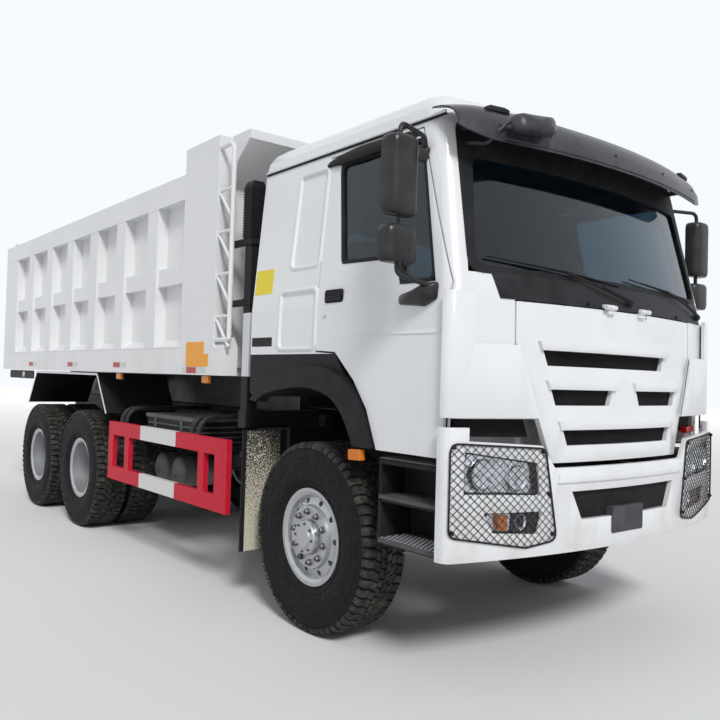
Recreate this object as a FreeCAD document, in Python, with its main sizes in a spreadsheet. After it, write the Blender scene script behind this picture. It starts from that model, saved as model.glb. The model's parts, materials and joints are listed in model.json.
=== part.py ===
import FreeCAD, Part
import math
import os
import Sketcher

# Three-axle dump truck, millimetres. +Z up, the front faces -Y, +X is the truck's left.
# The origin is on the ground, at the middle of the overall length.

doc = FreeCAD.newDocument("dump_truck")
sheet = doc.addObject("Spreadsheet::Sheet", "Sizes")
rows = []


class Size:
    """A length that remembers the formula by which it follows the sheet."""

    def __init__(self, value, text):
        self.value = float(value)
        self.text = text

    def joined(self, other, sign, value, turned=False):
        first, second = (as_size(other), self) if turned else (self, as_size(other))
        return Size(value, "(" + first.text + sign + second.text + ")")

    def __add__(self, other):
        return self.joined(other, " + ", self.value + as_size(other).value)

    def __radd__(self, other):
        return self.joined(other, " + ", as_size(other).value + self.value, True)

    def __sub__(self, other):
        return self.joined(other, " - ", self.value - as_size(other).value)

    def __rsub__(self, other):
        return self.joined(other, " - ", as_size(other).value - self.value, True)

    def __mul__(self, other):
        return self.joined(other, " * ", self.value * as_size(other).value)

    def __rmul__(self, other):
        return self.joined(other, " * ", as_size(other).value * self.value, True)

    def __truediv__(self, other):
        return self.joined(other, " / ", self.value / as_size(other).value)

    def __neg__(self):
        return Size(-self.value, "(0 - " + self.text + ")")


def as_size(number):
    if isinstance(number, Size):
        return number
    return Size(number, "(%.9g)" % number)


def size(name, number):
    """Write one driving dimension on the sheet."""
    rows.append(name)
    row = str(len(rows))
    sheet.set("A" + row, name)
    sheet.set("B" + row, str(number))
    sheet.setAlias("B" + row, name)
    return Size(number, "Sizes." + name)


def root_of(length):
    return Size(math.sqrt(length.value), "sqrt(" + length.text + ")")


# Clearances
pin_gap = size("pin_gap", 0.3)
panel_gap = size("panel_gap", 10)
seat_gap = size("seat_gap", 0.3)

# Wheels and axles
wheelbase = size("wheelbase", 3825)
bogie_spacing = size("bogie_spacing", 1350)
front_overhang = size("front_overhang", 1390)
rear_overhang = size("rear_overhang", 1515)
tyre_radius = size("tyre_radius", 561)
tyre_width = size("tyre_width", 313)
tyre_shoulder = size("tyre_shoulder", 40)
tyre_lip = size("tyre_lip", 30)
rim_flange_radius = size("rim_flange_radius", 287)
rim_seat_radius = size("rim_seat_radius", 258)
rim_width = size("rim_width", 230)
rim_thick = size("rim_thick", 12)
front_track = size("front_track", 2060)
rear_track = size("rear_track", 1830)
dual_spacing = size("dual_spacing", 342)
kingpin_x = size("kingpin_x", 945)
kingpin_radius = size("kingpin_radius", 42)
spindle_radius = size("spindle_radius", 45)
drum_radius = size("drum_radius", 200)
axle_tube = size("axle_tube", 75)
bowl_radius = size("bowl_radius", 215)
hand_hole = size("hand_hole", 17)
HAND_HOLES = 10

overall_length = front_overhang + wheelbase + bogie_spacing + rear_overhang
front_axle = front_overhang - overall_length / 2
mid_axle = front_axle + wheelbase
last_axle = mid_axle + bogie_spacing
bogie_centre = mid_axle + bogie_spacing / 2

# Frame
rail_half_width = size("rail_half_width", 430)
rail_flange = size("rail_flange", 80)
rail_web = size("rail_web", 12)
rail_depth = size("rail_depth", 300)
rail_top = size("rail_top", 1050)
rail_front = front_axle - size("rail_nose", 1150)
rail_rear_offset = size("rail_tail", 1180)
rail_rear = last_axle + rail_rear_offset
subframe_high = size("subframe_high", 170)
subframe_front = front_axle + size("subframe_start", 860)

hitch_reach = size("hitch_reach", 60)
hitch_high = size("hitch_high", 700)
hitch_thick = size("hitch_thick", 40)
hitch_bore = size("hitch_bore", 21)
hitch_half = size("hitch_half", 110)
cross_low = rail_top - rail_depth + size("cross_up", 40)
cross_high = rail_top - size("cross_down", 60)
cross_long = size("cross_long", 120)
cross_from_rear = size("cross_from_rear", 200)

# Cab
cab_front = front_axle - size("cab_nose", 1350)
cab_rear = front_axle + size("cab_back", 669)
cab_half = size("cab_half", 1200)
cab_wall = size("cab_wall", 45)
cab_bow = size("cab_bow_radius", 4300)
cab_low = size("cab_low", 1105)
cab_floor = size("cab_floor", 1165)
belt_high = size("belt_high", 1925)
eave_high = size("eave_high", 2850)
roof_high = size("roof_high", 3025)
roof_reach_front = size("roof_reach_front", 210)
roof_reach_side = size("roof_reach_side", 150)
roof_reach_rear = size("roof_reach_rear", 110)
ROOF_TURNS = (0, 25, 48, 70, 90)
belt_set_back = size("belt_set_back", 15)
eave_set_back = size("eave_set_back", 235)
eave_inset = size("eave_inset", 85)
cab_corner = size("cab_corner", 110)
arch_floor = size("arch_floor", 1645)

# Cab tilt hinge
tilt_y = front_axle - size("tilt_ahead", 1240)
tilt_z = size("tilt_high", 1250)
tilt_x = size("tilt_side", 430)
tilt_eye = size("tilt_eye", 30)
tilt_pin = size("tilt_pin", 15)

# Body
bed_half = size("bed_half", 1250)
bed_inner = size("bed_inner", 1130)
bed_plate = size("bed_plate", 30)
bed_front = front_axle + size("bed_start", 1100)
bed_rear = last_axle + size("bed_tail", 1470)
sill_low = size("sill_low", 1500)
sill_high = size("sill_high", 200)
sill_slope = size("sill_slope", 68)
bed_top = size("bed_top", 3015)
top_rail_low = bed_top - size("top_rail_deep", 185)
canopy_top = bed_top + size("canopy_rise", 195)
canopy_plate = size("canopy_plate", 20)
mid_rail_low = size("mid_rail_low", 2194)
mid_rail_high = size("mid_rail_high", 137)
pocket_first = size("pocket_first", 520)
pocket_pitch = size("pocket_pitch", 675)
pocket_width = size("pocket_width", 480)
POCKETS = 7
floor_high = size("floor_high", 1600)
floor_thick = size("floor_thick", 40)
tip_y = last_axle + size("tip_behind", 1155)
tip_z = size("tip_high", 1170)
tip_pin = size("tip_pin", 35)
bearer_gap = size("bearer_gap", 10)
gate_y = bed_rear - size("gate_hinge_ahead", 45)
gate_z = bed_top + size("gate_hinge_rise", 25)
gate_pin = size("gate_pin", 14)

# Hoist
hoist_y = front_axle + size("hoist_behind", 860)
hoist_foot_z = size("hoist_foot_high", 800)
hoist_eye_z = size("hoist_eye_high", 2050)
hoist_wall = size("hoist_wall", 12)
hoist_radius = size("hoist_radius", 105)
hoist_run_gap = size("hoist_run_gap", 1)
HOIST_NAMES = ("hoist_barrel", "hoist_stage_1", "hoist_stage_2", "hoist_stage_3", "hoist_rod")
headboard_y = bed_front + size("headboard_in", 100)
headboard_thick = size("headboard_thick", 40)


def give(thing, prop, length):
    """Set one property, by a formula on the sheet where it follows a size."""
    if isinstance(length, Size):
        thing.setExpression(prop, length.text)
    else:
        setattr(thing, prop, length)


def place(thing, x, y, z, axis=None, angle=0):
    """Move a thing, and turn it about one axis."""
    if axis:
        thing.Placement = FreeCAD.Placement(FreeCAD.Vector(0, 0, 0), FreeCAD.Rotation(FreeCAD.Vector(*axis), angle))
    for letter, length in (("x", x), ("y", y), ("z", z)):
        thing.setExpression("Placement.Base." + letter, as_size(length).text)
    return thing


def box(x_range, y_range, z_range, name="Block"):
    block = doc.addObject("Part::Box", name)
    spans = (("Length", x_range), ("Width", y_range), ("Height", z_range))
    for prop, (low, high) in spans:
        give(block, prop, as_size(high) - low)
    return place(block, x_range[0], y_range[0], z_range[0])


TURNS = {"X": ((0, 1, 0), 90), "Y": ((1, 0, 0), -90), "Z": ((0, 0, 1), 0)}


def cylinder(axis, centre, radius, low, high, name="Round"):
    """A round bar along X, Y or Z; centre gives the other two coordinates in order."""
    bar = doc.addObject("Part::Cylinder", name)
    give(bar, "Radius", as_size(radius))
    give(bar, "Height", as_size(high) - low)
    where = {"X": (low, centre[0], centre[1]), "Y": (centre[0], low, centre[1]),
             "Z": (centre[0], centre[1], low)}[axis]
    return place(bar, *where, *TURNS[axis])


def fuse(*things, name="Joined"):
    if len(things) == 1:
        return things[0]
    joined = doc.addObject("Part::MultiFuse", name)
    joined.Shapes = list(things)
    return joined


def cut(base, *tools, name="Cut"):
    left = doc.addObject("Part::Cut", name)
    left.Base = base
    left.Tool = fuse(*tools)
    return left


def common(*things, name="Shared"):
    shared = doc.addObject("Part::MultiCommon", name)
    shared.Shapes = list(things)
    return shared


def group(*things, name="Set"):
    """Like solids that don't touch, kept as one node."""
    gathered = doc.addObject("Part::Compound", name)
    gathered.Links = list(things)
    return gathered


def mirrored(thing, name="Mirrored"):
    """The same thing on the other side of the truck."""
    twin = doc.addObject("Part::Mirroring", name)
    twin.Source = thing
    twin.Normal = FreeCAD.Vector(1, 0, 0)
    return twin


def both_sides(thing):
    return group(thing, mirrored(thing))


PLANES = {"XY": ("XY_Plane", 1), "XZ": ("XZ_Plane", -1), "YZ": ("YZ_Plane", 1)}


def outline(body, plane, points, offset=0, name="Outline"):
    """A closed sketch of straight lines, each corner held at its sizes."""
    sketch = body.newObject("Sketcher::SketchObject", name)
    role, way = PLANES[plane]
    origin_plane = [feature for feature in body.Origin.OriginFeatures if feature.Role == role][0]
    sketch.AttachmentSupport = [(origin_plane, "")]
    sketch.MapMode = "FlatFace"
    sketch.setExpression("AttachmentOffset.Base.z", (as_size(offset) * way).text)
    corners = [(as_size(a), as_size(b)) for a, b in points]
    flat = [FreeCAD.Vector(a.value, b.value, 0) for a, b in corners]
    count = len(flat)
    sketch.addGeometry([Part.LineSegment(flat[i], flat[(i + 1) % count]) for i in range(count)], False)
    rules = [Sketcher.Constraint("Coincident", i, 2, (i + 1) % count, 1) for i in range(count)]
    for i, corner in enumerate(flat):
        rules.append(Sketcher.Constraint("DistanceX", -1, 1, i, 1, corner.x))
        rules.append(Sketcher.Constraint("DistanceY", -1, 1, i, 1, corner.y))
    sketch.addConstraint(rules)
    for i, (a, b) in enumerate(corners):
        sketch.setExpression("Constraints[%d]" % (count + 2 * i), a.text)
        sketch.setExpression("Constraints[%d]" % (count + 2 * i + 1), b.text)
    return sketch


def prism(plane, points, low, high, name="Prism"):
    """A straight-sided outline in one plane, padded from low to high across it."""
    body = doc.addObject("PartDesign::Body", name)
    start = high if plane == "XZ" else low
    if plane == "XZ":
        sketch = outline(body, plane, points, as_size(low))
        pad = body.newObject("PartDesign::Pad", name + "Pad")
        pad.Reversed = True
    else:
        sketch = outline(body, plane, points, as_size(start))
        pad = body.newObject("PartDesign::Pad", name + "Pad")
    pad.Profile = sketch
    give(pad, "Length", as_size(high) - low)
    body.Tip = pad
    return body


def turned(points, name="Turned"):
    """A profile of (x, radius) points turned about the X axis."""
    body = doc.addObject("PartDesign::Body", name)
    sketch = outline(body, "XY", points)
    spin = body.newObject("PartDesign::Revolution", name + "Spin")
    spin.Profile = sketch
    spin.ReferenceAxis = (sketch, ["H_Axis"])
    spin.Angle = 360
    body.Tip = spin
    return body


def tube(points, radius, bend=0, name="Tube"):
    """A bent round bar along straight runs, its corners rounded to one bend radius."""
    spots = [FreeCAD.Vector(*(as_size(c).value for c in point)) for point in points]
    edges = []
    start = spots[0]
    for before, corner, after in zip(spots, spots[1:], spots[2:]):
        come = (corner - before).normalize()
        leave = (after - corner).normalize()
        turn = come.getAngle(leave)
        reach = as_size(bend).value * math.tan(turn / 2)
        first = corner - come * reach
        last = corner + leave * reach
        middle_way = (leave - come).normalize()
        depth = as_size(bend).value * (1 / math.cos(turn / 2) - 1)
        edges.append(Part.LineSegment(start, first).toShape())
        edges.append(Part.Arc(first, corner + middle_way * depth, last).toShape())
        start = last
    edges.append(Part.LineSegment(start, spots[-1]).toShape())
    path = Part.Wire(edges)
    ring = Part.Wire(Part.makeCircle(as_size(radius).value, spots[0], spots[1] - spots[0]))
    bar = doc.addObject("Part::Feature", name)
    bar.Shape = path.makePipeShell([ring], True, False)
    return bar


nodes = {}


def node(name, thing):
    """Name a finished sub-part: its label is its file's name."""
    thing.Label = name
    nodes[name] = thing
    return thing


# Plan outline of the bowed front, with rounded corners

def plan_sketch(body, front, half, corner, rear, high, inset=0):
    """Plan of a bowed front at one height: an arc, two round corners, two sides and the back."""
    front, half, corner, rear = [as_size(v) for v in (front, half, corner, rear)]
    inset = as_size(inset)
    bow = cab_bow - inset
    round_off = corner - inset
    middle = front + cab_bow
    side = half - inset
    back = rear - inset
    drop = root_of((bow - round_off) * (bow - round_off) - (side - round_off) * (side - round_off))
    knee = middle - drop
    sketch = body.newObject("Sketcher::SketchObject", "Plan")
    plane = [feature for feature in body.Origin.OriginFeatures if feature.Role == "XY_Plane"][0]
    sketch.AttachmentSupport = [(plane, "")]
    sketch.MapMode = "FlatFace"
    sketch.setExpression("AttachmentOffset.Base.z", as_size(high).text)
    centre = FreeCAD.Vector(0, middle.value, 0)
    right_knee = FreeCAD.Vector(side.value - round_off.value, knee.value, 0)
    left_knee = FreeCAD.Vector(-right_knee.x, knee.value, 0)
    up = FreeCAD.Vector(0, 0, 1)
    lean = math.atan2(right_knee.x, middle.value - knee.value)
    down = -math.pi / 2
    side_right = FreeCAD.Vector(side.value, knee.value, 0)
    side_left = FreeCAD.Vector(-side.value, knee.value, 0)
    back_right = FreeCAD.Vector(side.value, back.value, 0)
    back_left = FreeCAD.Vector(-side.value, back.value, 0)
    sketch.addGeometry([
        Part.ArcOfCircle(Part.Circle(centre, up, bow.value), down - lean, down + lean),
        Part.ArcOfCircle(Part.Circle(right_knee, up, round_off.value), down + lean, 0),
        Part.LineSegment(side_right, back_right),
        Part.LineSegment(back_right, back_left),
        Part.LineSegment(back_left, side_left),
        Part.ArcOfCircle(Part.Circle(left_knee, up, round_off.value), math.pi, 3 * math.pi / 2 - lean)], False)
    sketch.addConstraint([
        Sketcher.Constraint("Tangent", 0, 2, 1, 1),
        Sketcher.Constraint("Tangent", 1, 2, 2, 1),
        Sketcher.Constraint("Coincident", 2, 2, 3, 1),
        Sketcher.Constraint("Coincident", 3, 2, 4, 1),
        Sketcher.Constraint("Tangent", 4, 2, 5, 1),
        Sketcher.Constraint("Tangent", 5, 2, 0, 1),
        Sketcher.Constraint("Vertical", 2),
        Sketcher.Constraint("Vertical", 4),
        Sketcher.Constraint("Horizontal", 3)])
    for kind, refs, value in (
            ("DistanceX", (-1, 1, 0, 3), as_size(0)),
            ("DistanceY", (-1, 1, 0, 3), middle),
            ("Radius", (0,), bow),
            ("Radius", (1,), round_off),
            ("Radius", (5,), round_off),
            ("DistanceX", (-1, 1, 2, 2), side),
            ("DistanceX", (-1, 1, 4, 1), -side),
            ("DistanceY", (-1, 1, 2, 2), back)):
        index = sketch.addConstraint(Sketcher.Constraint(kind, *refs, value.value))
        sketch.setExpression("Constraints[%d]" % index, value.text)
    return sketch


def plan_block(front, half, corner, rear, low, high, inset=0, name="PlanBlock"):
    body = doc.addObject("PartDesign::Body", name)
    sketch = plan_sketch(body, front, half, corner, rear, low, inset)
    pad = body.newObject("PartDesign::Pad", name + "Pad")
    pad.Profile = sketch
    give(pad, "Length", as_size(high) - low)
    body.Tip = pad
    return body


def cab_form(inset, name):
    """The cab's outer form, or the same form drawn in by a wall."""
    inset = as_size(inset)
    body = doc.addObject("PartDesign::Body", name)
    levels = [(cab_low + inset, cab_front, cab_half, cab_corner, cab_rear),
              (belt_high, cab_front + belt_set_back, cab_half, cab_corner, cab_rear)]
    for turn in ROOF_TURNS:
        rise, run = math.sin(math.radians(turn)), 1 - math.cos(math.radians(turn))
        levels.append((eave_high + (roof_high - inset - eave_high) * rise,
                       cab_front + eave_set_back + roof_reach_front * run,
                       cab_half - eave_inset - roof_reach_side * run, cab_corner, cab_rear - roof_reach_rear * run))
    plans = [plan_sketch(body, front, half, corner, rear, high, inset)
             for high, front, half, corner, rear in levels]
    loft = body.newObject("PartDesign::AdditiveLoft", name + "Loft")
    loft.Profile = plans[0]
    loft.Sections = plans[1:]
    loft.Ruled = True
    body.Tip = loft
    return body


# Frame: two channel rails, cross members, the tipping subframe and its hinge shaft

def frame():
    rail_low = rail_top - rail_depth
    outside = rail_half_width
    inside = outside - rail_web
    lip = outside - rail_flange
    rail = prism("XZ", [(outside, rail_low), (outside, rail_top), (lip, rail_top), (lip, rail_top - rail_web),
                        (inside, rail_top - rail_web), (inside, rail_low + rail_web),
                        (lip, rail_low + rail_web), (lip, rail_low)], rail_front, rail_rear, "Rail")
    bearer = box((lip, outside), (subframe_front, rail_rear), (rail_top, rail_top + subframe_high), "Bearer")
    pieces = [rail, mirrored(rail), bearer, mirrored(bearer)]
    for along in (rail_front + 20, front_axle + 560, front_axle + 1900, mid_axle - 700,
                  bogie_centre - 90, rail_rear - cross_from_rear):
        pieces.append(box((-inside, inside), (along, along + cross_long), (cross_low, cross_high), "Cross"))
    ear = box((hoist_radius + 15, hoist_radius + 45), (hoist_y - 60, hoist_y + 60),
              (hoist_foot_z - 60, hoist_foot_z + 60), "HoistEar")
    seat = box((hoist_radius + 40, inside), (hoist_y - 60, hoist_y + 60),
               (hoist_foot_z - 20, hoist_foot_z + 30), "HoistSeat")
    pieces += [ear, seat, mirrored(ear), mirrored(seat)]
    shaft = cylinder("X", (tip_y, tip_z), tip_pin, -rail_half_width - 70, rail_half_width + 70, "TipShaft")
    sleeve = cylinder("X", (tip_y, tip_z), tip_pin + 30, -rail_half_width, rail_half_width, "TipSleeve")
    pieces += [shaft, sleeve]
    leg = prism("YZ", [(tilt_y, tilt_z - 28), (tilt_y + 10, tilt_z + 25), (tilt_y + 240, tilt_z - 15),
                       (tilt_y + 240, rail_top - 40), (tilt_y + 185, rail_top - 40), (tilt_y + 185, tilt_z - 70),
                       (tilt_y + 145, tilt_z - 32)],
                tilt_x - 60, tilt_x - 20, "TiltLeg")
    eye = cylinder("X", (tilt_y, tilt_z), tilt_eye, tilt_x - 60, tilt_x - 20, "TiltEye")
    pin = cylinder("X", (tilt_y, tilt_z), tilt_pin, tilt_x - 60, tilt_x + 32, "TiltPin")
    bracket = fuse(leg, eye, pin)
    return node("frame", fuse(*pieces, bracket, mirrored(bracket), name="Frame"))


frame()


def tow_hitch():
    across = (-hitch_half, hitch_half)
    jaw = box(across, (rail_rear - 120, rail_rear + hitch_reach + 60), (hitch_high, hitch_high + hitch_thick), "Hitch")
    post = box(across, (rail_rear - cross_from_rear, rail_rear - cross_from_rear + cross_long),
               (hitch_high, cross_low - seat_gap), "HitchPost")
    hole = cylinder("Z", (0, rail_rear + hitch_reach), hitch_bore, hitch_high - 5, hitch_high + hitch_thick + 5, "HitchBore")
    return node("tow_hitch", cut(fuse(jaw, post), hole))


tow_hitch()


# Bumper, lamps, lamp guards

bumper_front = front_axle - front_overhang
bumper_half = size("bumper_half", 1245)
bumper_thick = size("bumper_thick", 28)
bumper_low = size("bumper_low", 655)
bumper_top = size("bumper_top", 1085)
bumper_corner_top = size("bumper_corner_top", 1290)
bumper_back = front_axle - size("bumper_wrap", 1140)
bumper_corner = size("bumper_corner", 60)
lamp_gap = size("lamp_gap", 3)
lamp_set_in = size("lamp_set_in", 6)
guard_wire = size("guard_wire", 12)


LAMP_MAIN = [(1146, 1172), (733, 1112), (712, 958), (1150, 980)]
LAMP_FOG = [(1040, 880), (700, 872), (728, 768), (985, 788)]
GUARD_EDGE = [(1232, 1217), (685, 1186), (600, 728), (800, 704), (1232, 778)]


def grown(points, by):
    """An outline moved out from its middle by one distance along each side."""
    middle_x = sum(x for x, z in points) / len(points)
    middle_z = sum(z for x, z in points) / len(points)
    return [(x + (by if x > middle_x else -by), z + (by if z > middle_z else -by)) for x, z in points]


def front_band(low, high, outset, thick, name):
    """A strip of sheet that follows the bumper's front, outset in front of it."""
    outer = plan_block(bumper_front, bumper_half, bumper_corner, bumper_back, low, high, -(outset + thick), name)
    inner = plan_block(bumper_front, bumper_half, bumper_corner, bumper_back + 200, low - 10, high + 10, -outset, name)
    return cut(outer, inner)


def through_front(points, name, back=bumper_back - 30):
    return prism("XZ", points, bumper_front - 60, back, name)


def bumper():
    outer = plan_block(bumper_front, bumper_half, bumper_corner, bumper_back, bumper_low, bumper_corner_top, 0)
    inner = plan_block(bumper_front, bumper_half, bumper_corner, bumper_back + 200, bumper_low - 10,
                       bumper_corner_top + 10, bumper_thick)
    skin = cut(outer, inner)
    over = prism("XZ", [(-1130, bumper_corner_top + 10), (-1130, 1226), (-700, 1200), (-612, bumper_top),
                        (612, bumper_top), (700, 1200), (1130, 1226), (1130, bumper_corner_top + 10)],
                 bumper_front - 10, bumper_back + 10, "OverBumper")
    lamps = [through_front(grown(points, lamp_gap), "LampOpening") for points in (LAMP_MAIN, LAMP_FOG)]
    mouth = through_front([(-490, 962), (490, 962), (415, 815), (-415, 815)], "Mouth")
    plate = box((-125, 125), (bumper_front + 2, bumper_front + 40), (712, 851), "PlateBracket")
    beam = box((-440, 440), (rail_front - 60, rail_front), (760, 860), "BumperBeam")
    stays = [box((x, x + 60), (bumper_front + bumper_thick - 4, rail_front - 50), (665, 770), "BumperStay")
             for x in (-380, 320)]
    shell = cut(skin, over, *lamps, *[mirrored(lamp) for lamp in lamps], mouth)
    rib = common(front_band(1010, 1050, -1, 13, "BumperRib"), through_front([(-600, 1000), (600, 1000), (585, 1060), (-585, 1060)], "RibRegion"))
    return node("front_bumper", fuse(shell, rib, plate, beam, *stays, name="Bumper"))


bumper()


def lamp_block():
    bowls = []
    for points in (LAMP_MAIN, LAMP_FOG):
        low = min(z for x, z in points) - 5
        high = max(z for x, z in points) + 5
        solid = plan_block(bumper_front, bumper_half, bumper_corner, bumper_back - 60, low, high, lamp_set_in, "LampSolid")
        bowls.append(common(solid, through_front(points, "LampRegion")))
    inside = plan_block(bumper_front, bumper_half, bumper_corner, bumper_back, bumper_low, bumper_corner_top,
                        bumper_thick + seat_gap, "BumperInside")
    seat = common(box((720, bumper_half), (bumper_back - 75, bumper_back - 30), (720, 1140), "LampSeat"), inside)
    return node("headlamps", both_sides(fuse(*bowls, seat)))


lamp_block()


def guards():
    hole = through_front([(x - (12 if x > 1000 else -12), z - (12 if z > 1000 else -12)) for x, z in GUARD_EDGE], "GuardHole")
    rim = cut(common(front_band(690, 1230, seat_gap, guard_wire, "GuardBand"), through_front(GUARD_EDGE, "GuardRegion")), hole)
    return node("lamp_guards", both_sides(rim))


guards()


# Steps beside the front wheels

def steps():
    rear = front_axle - 655
    front = front_axle - 1120
    block = box((890, 1190), (front, rear), (650, 1095), "StepBlock")
    lower = box((960, 1200), (front + 20, rear - 20), (680, 870), "LowerWell")
    upper = box((1010, 1200), (front + 20, rear - 20), (900, 1065), "UpperWell")
    arm = box((rail_half_width, 890), (front + 60, front + 140), (850, 930), "StepArm")
    return node("steps", both_sides(fuse(cut(block, lower, upper), arm)))


steps()


# Front axle, springs, rear axles with the drive line

def front_beam():
    eye = cylinder("Z", (kingpin_x, front_axle), kingpin_radius, tyre_radius - 55, tyre_radius + 55, "KingpinEye")
    arm = prism("XZ", [(0, 420), (620, 420), (820, 510), (kingpin_x, 515), (kingpin_x, 605), (800, 610),
                       (600, 520), (0, 520)], front_axle - 50, front_axle + 50, "AxleArm")
    pad = box((rail_half_width - 90, rail_half_width + 10), (front_axle - 90, front_axle + 90), (520, 640), "SpringPad")
    half = fuse(arm, pad, eye)
    return node("front_axle", fuse(half, mirrored(half), name="FrontAxle"))


front_beam()


def springs():
    def stack(middle, half_long, low, x_low, x_high):
        leaves = []
        for level in range(5):
            reach = half_long * (1 - 0.17 * level)
            top = low + (5 - level) * 18
            leaves.append(box((x_low, x_high), (middle - reach, middle + reach), (top - 18, top), "Leaf"))
        return leaves
    front = stack(front_axle, size("front_spring_half", 760), 640, rail_half_width - 85, rail_half_width + 5)
    for way in (-1, 1):
        spot = front_axle + 720 * way
        front.append(box((rail_half_width - 60, rail_half_width - 20), (spot - 40, spot + 40), (730, 750), "Shackle"))
    rear = stack(bogie_centre, size("rear_spring_half", 700), tyre_radius + axle_tube + seat_gap - 72,
                 rail_half_width + 10, rail_half_width + 110)
    rear.append(box((rail_half_width, rail_half_width + 120), (bogie_centre - 120, bogie_centre + 120),
                    (650, 900), "SpringSaddle"))
    return node("leaf_springs", both_sides(group(fuse(*front), fuse(*rear))))


springs()


def drive_axles():
    pieces = []
    for along in (mid_axle, last_axle):
        pieces.append(cylinder("X", (along, tyre_radius), axle_tube, -675, 675, "AxleTube"))
        pieces.append(cylinder("X", (along, tyre_radius), spindle_radius, -1080, 1080, "Spindle"))
        bowl = turned([(-150, 0), (-150, 90), (-90, 190), (-30, bowl_radius), (30, bowl_radius), (90, 190),
                       (150, 90), (150, 0)], "AxleBowl")
        pieces.append(place(bowl, 0, along, tyre_radius))
    shaft_z = tyre_radius + 60
    pieces.append(cylinder("Y", (0, shaft_z), 50, front_axle + 730, last_axle, "DriveShaft"))
    pieces.append(box((-190, 190), (front_axle + 470, front_axle + 740), (480, 780), "Gearbox"))
    return node("drive_axles", fuse(*pieces, name="DriveAxles"))


drive_axles()


def engine():
    block = box((-330, 330), (front_axle - 820, front_axle + 470), (560, 1380), "Engine")
    core = box((-340, 340), (front_axle - 960, front_axle - 820), (700, 1380), "Radiator")
    return node("engine_block", fuse(block, core, name="EngineBlock"))


engine()


# Side equipment on the rails

def fuel_tank():
    y_low = front_axle + 1250
    y_high = front_axle + 2500
    shape = box((480, 1130), (y_low, y_high), (520, 1060), "FuelTank")
    straps = [box((rail_half_width, 480), (y_low + at, y_low + at + 60), (700, 1000), "TankArm") for at in (150, 1000)]
    return node("fuel_tank", fuse(shape, *straps))


fuel_tank()


battery_low = size("battery_low", 935)
battery_y = front_axle + size("battery_start", 1640)
battery_rear = battery_y + size("battery_long", 840)


def battery_box():
    shape = box((-1120, -500), (battery_y, battery_rear), (battery_low, 1160), "Battery")
    arm = box((-500, -rail_half_width), (battery_y + 100, battery_rear - 100), (battery_low + 15, rail_top - 15),
              "BatteryArm")
    return node("battery_box", fuse(shape, arm))


battery_box()

tank_radius = size("tank_radius", 122)
tank_high = size("tank_high", 705)
tank_end = size("tank_end", 1000)
tank_long = size("tank_long", 420)


def air_tanks():
    pieces = []
    for along in (2067, 2394):
        y = front_axle + along
        inner = tank_long - tank_end
        pieces.append(cylinder("X", (y, tank_high), tank_radius, -tank_end, inner, "AirTank"))
        pieces.append(box((inner - 10, -rail_half_width), (y - 50, y + 50), (tank_high + 20, tank_high + tank_radius),
                          "TankHanger"))
    return node("air_tanks", group(fuse(*pieces[:2]), fuse(*pieces[2:])))


air_tanks()

guard_low = size("guard_low", 560)
guard_high = size("guard_high", 1065)
guard_front = front_axle + size("guard_start", 875)
guard_rear = front_axle + size("guard_end", 3020)
guard_x = size("guard_x", 1240)
guard_thick = size("guard_thick", 40)
guard_bar = size("guard_bar", 115)


def side_guards():
    across = (guard_x - guard_thick, guard_x)
    plate = box(across, (guard_front, guard_rear), (guard_low, guard_high), "GuardPlate")
    hole = box((guard_x - guard_thick - 10, guard_x + 10), (guard_front + 170, guard_rear - 105),
               (guard_low + guard_bar, guard_high - guard_bar), "GuardHole")
    posts = [box(across, (guard_front + at, guard_front + at + 90), (guard_low, guard_high), "GuardPost")
             for at in (330, 1690)]
    bars = []
    for at in (455, 560, 1790, 1890):
        y = guard_front + at
        bars.append(tube([(guard_x - 20, y, guard_high - 10), (guard_x - 20, y, rail_top + 145),
                          (rail_half_width + seat_gap, y, rail_top + 145)], 18, 120, "Hanger"))
    return node("side_guards", both_sides(fuse(cut(plate, hole), *posts, *bars)))


side_guards()

fender_top = size("fender_top", 1488)
fender_thick = size("fender_thick", 12)


def mudguards():
    y0 = mid_axle - 712
    y1 = mid_axle - 446
    y2 = last_axle + 99
    y3 = last_axle + 371
    low = 1130
    band = prism("YZ", [(y0, low), (y1, fender_top), (y2, fender_top), (y3, low),
                        (y3 - fender_thick, low), (y2 - fender_thick, fender_top - fender_thick),
                        (y1 + fender_thick, fender_top - fender_thick), (y0 + fender_thick, low)],
                 560, 1235, "RearFender")
    pieces = [band]
    for y in (mid_axle - 200, last_axle - 100):
        pieces.append(box((rail_half_width, rail_half_width + 40), (y, y + 60), (rail_top, fender_top - fender_thick),
                          "FenderPost"))
        pieces.append(box((rail_half_width, 700), (y, y + 60), (fender_top - 60, fender_top - fender_thick), "FenderArm"))
    flap = box((880, 1225), (front_axle + 690, front_axle + 705), (344, 1145), "MudFlap")
    rod = box((rail_half_width, 1225), (front_axle + 690, front_axle + 730), (960, 1000), "FlapArm")
    return node("mudguards", both_sides(group(fuse(*pieces), fuse(flap, rod))))


mudguards()


def air_intake():
    y0 = front_axle + 755
    y1 = front_axle + 855
    duct = box((-1178, -1067), (y0, y1), (2440, 2800), "IntakeDuct")
    cap = prism("XZ", [(-1178, 2800), (-1160, 2832), (-1085, 2832), (-1067, 2800)], y0, y1, "IntakeCap")
    stem = box((-1165, -1080), (y0 + 8, y1 - 8), (1250, 2440), "IntakeStem")
    elbow = box((-1175, -560), (y0, y1), (1150, 1270), "IntakeElbow")
    can = box((-820, -470), (front_axle + 740, front_axle + 1180), (740, 1160), "AirFilter")
    arm = box((-480, -rail_half_width), (front_axle + 800, front_axle + 900), (850, 950), "FilterArm")
    return node("air_intake", fuse(duct, cap, stem, elbow, can, arm))


air_intake()


def silencer():
    can = box((480, 1100), (front_axle + 740, front_axle + 1160), (560, 980), "Silencer")
    arm = box((rail_half_width, 490), (front_axle + 800, front_axle + 900), (800, 900), "SilencerArm")
    return node("silencer", fuse(can, arm))


silencer()


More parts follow.
